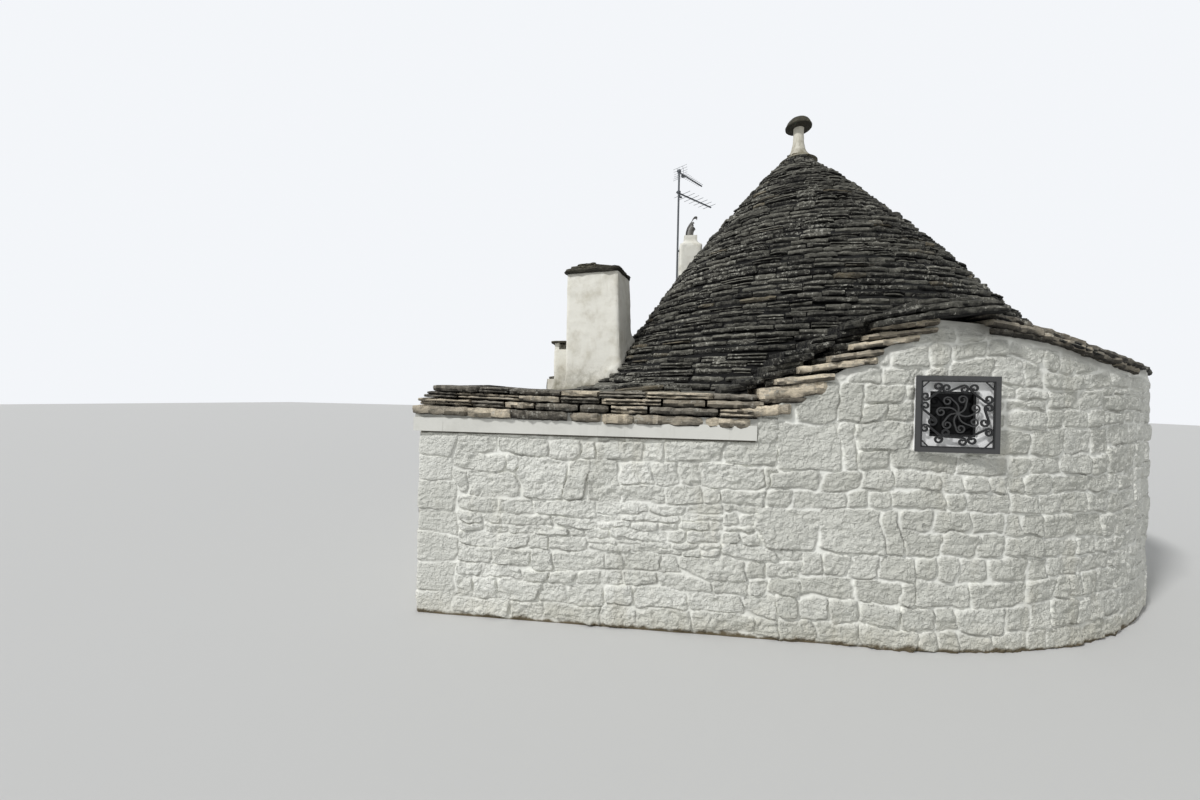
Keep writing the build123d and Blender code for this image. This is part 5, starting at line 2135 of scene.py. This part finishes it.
def dress_frame(finishes: Finishes, frame: dict) -> None:
    """Give every CAD node that stays its own material.

    Args:
        finishes: All materials.
        frame: The loaded frame.
    """
    slots = {row["node"]: row["material_slot"] for row in frame["record"]["subparts"]}
    usual = {Slot.STONE_WALL.value: finishes.inside, Slot.RENDER.value: finishes.render,
             Slot.ROOF.value: finishes.slab, Slot.TAN.value: finishes.edge_slab,
             Slot.DARK_STONE.value: finishes.dark_stone, Slot.IRON.value: finishes.frame_iron,
             Slot.SHEET.value: finishes.sheet, Slot.AERIAL.value: finishes.aerial}
    own = {"inner_vault_lower": finishes.inside, "inner_vault_upper": finishes.inside,
           "front_fascia_band": finishes.band, "window_panel": finishes.panel}
    for name, node in frame["nodes"].items():
        material = own.get(name) or usual.get(slots.get(name))
        if material:
            node.data.materials.clear()
            node.data.materials.append(material)


@dataclass(frozen=True)
class Studio:
    """Camera at the photograph's place, floor and plain light."""

    eye: Triple = (-1.707, -6.893, 1.7)
    yaw: float = 6.5
    pitch: float = -0.25
    roll: float = 1.2
    lens: float = 13.5
    sensor: float = 36.0
    sun: float = 2.15
    sun_width: float = math.radians(6)
    sun_ray: Triple = (0.58, 0.5, -0.68)
    sky: float = 0.47
    sky_colour: tuple[float, ...] = (0.96, 0.98, 1.0, 1.0)
    seen_colour: tuple[float, ...] = (0.9, 0.92, 0.95, 1.0)
    floor_colour: tuple[float, ...] = (0.62, 0.62, 0.61, 1.0)
    floor_rough: float = 0.95
    floor_half: float = 60.0
    floor_level: float = -0.001

    def camera(self) -> None:
        """Set the camera."""
        data = bpy.data.cameras.new("camera")
        data.lens, data.sensor_width, data.sensor_fit = self.lens, self.sensor, "HORIZONTAL"
        camera = bpy.data.objects.new("camera", data)
        bpy.context.collection.objects.link(camera)
        pose = Matrix.Translation(self.eye)
        for degrees, axis in ((self.yaw, "Z"), (90 + self.pitch, "X"), (self.roll, "Z")):
            pose = pose @ Matrix.Rotation(math.radians(degrees), 4, axis)
        camera.matrix_world = pose
        bpy.context.scene.camera = camera

    def light(self) -> None:
        """Add a soft sun and an even pale sky."""
        data = bpy.data.lights.new("sun", "SUN")
        data.energy, data.angle = self.sun, self.sun_width
        lamp = bpy.data.objects.new("sun", data)
        bpy.context.collection.objects.link(lamp)
        lamp.rotation_euler = Vector(self.sun_ray).to_track_quat("-Z", "Y").to_euler()
        world = bpy.data.worlds.new("sky")
        world.use_nodes = True
        bpy.context.scene.world = world
        nodes = Nodes(world.node_tree)
        rays = nodes.add("LightPath").outputs
        direct = nodes.math("MAXIMUM", rays["Is Glossy Ray"], rays["Is Transmission Ray"])
        seen = nodes.math("MAXIMUM", rays["Is Camera Ray"], direct)
        plain = world.node_tree.nodes["Background"]
        plain.inputs["Color"].default_value = self.sky_colour
        plain.inputs["Strength"].default_value = self.sky
        pale = nodes.add("Background", Color=self.seen_colour, Strength=1.0)
        both = nodes.add("MixShader", i0=seen, i1=plain.outputs[0], i2=pale.outputs[0])
        world.node_tree.links.new(both.outputs[0], world.node_tree.nodes["World Output"].inputs["Surface"])

    def floor(self) -> None:
        """Lay a plain pale floor."""
        nodes = MaterialNodes("floor")
        nodes.shader.inputs["Base Color"].default_value = self.floor_colour
        nodes.shader.inputs["Roughness"].default_value = self.floor_rough
        mesh = bpy.data.meshes.new("floor")
        half = self.floor_half
        corners = [(x * half, y * half, self.floor_level) for x, y in ((-1, -1), (1, -1), (1, 1), (-1, 1))]
        mesh.from_pydata(corners, [], [(0, 1, 2, 3)])
        mesh.materials.append(nodes.material)
        floor = bpy.data.objects.new("floor", mesh)
        bpy.context.collection.objects.link(floor)

    def make(self) -> None:
        """Set up the studio."""
        self.camera()
        self.light()
        self.floor()
        bpy.context.scene.view_settings.view_transform = "Standard"


def main() -> None:
    """Build the looks of the house in order."""
    logging.basicConfig(level=logging.INFO, format="%(name)s %(message)s")
    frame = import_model()
    Studio().make()
    house = House()
    finishes = Finishes()
    dress_frame(finishes, frame)
    form = RoofForm(house)
    StoneWalls(house, finishes).make()
    SlabRoof(house, finishes, form).make()
    EdgeSlabs(house, finishes).make()
    Chimneys(finishes, form).make()
    Aerials(finishes).make()
    Pinnacle(house, finishes).make()
    WindowIron(house, finishes).make()


if __name__ == "__main__":
    main()
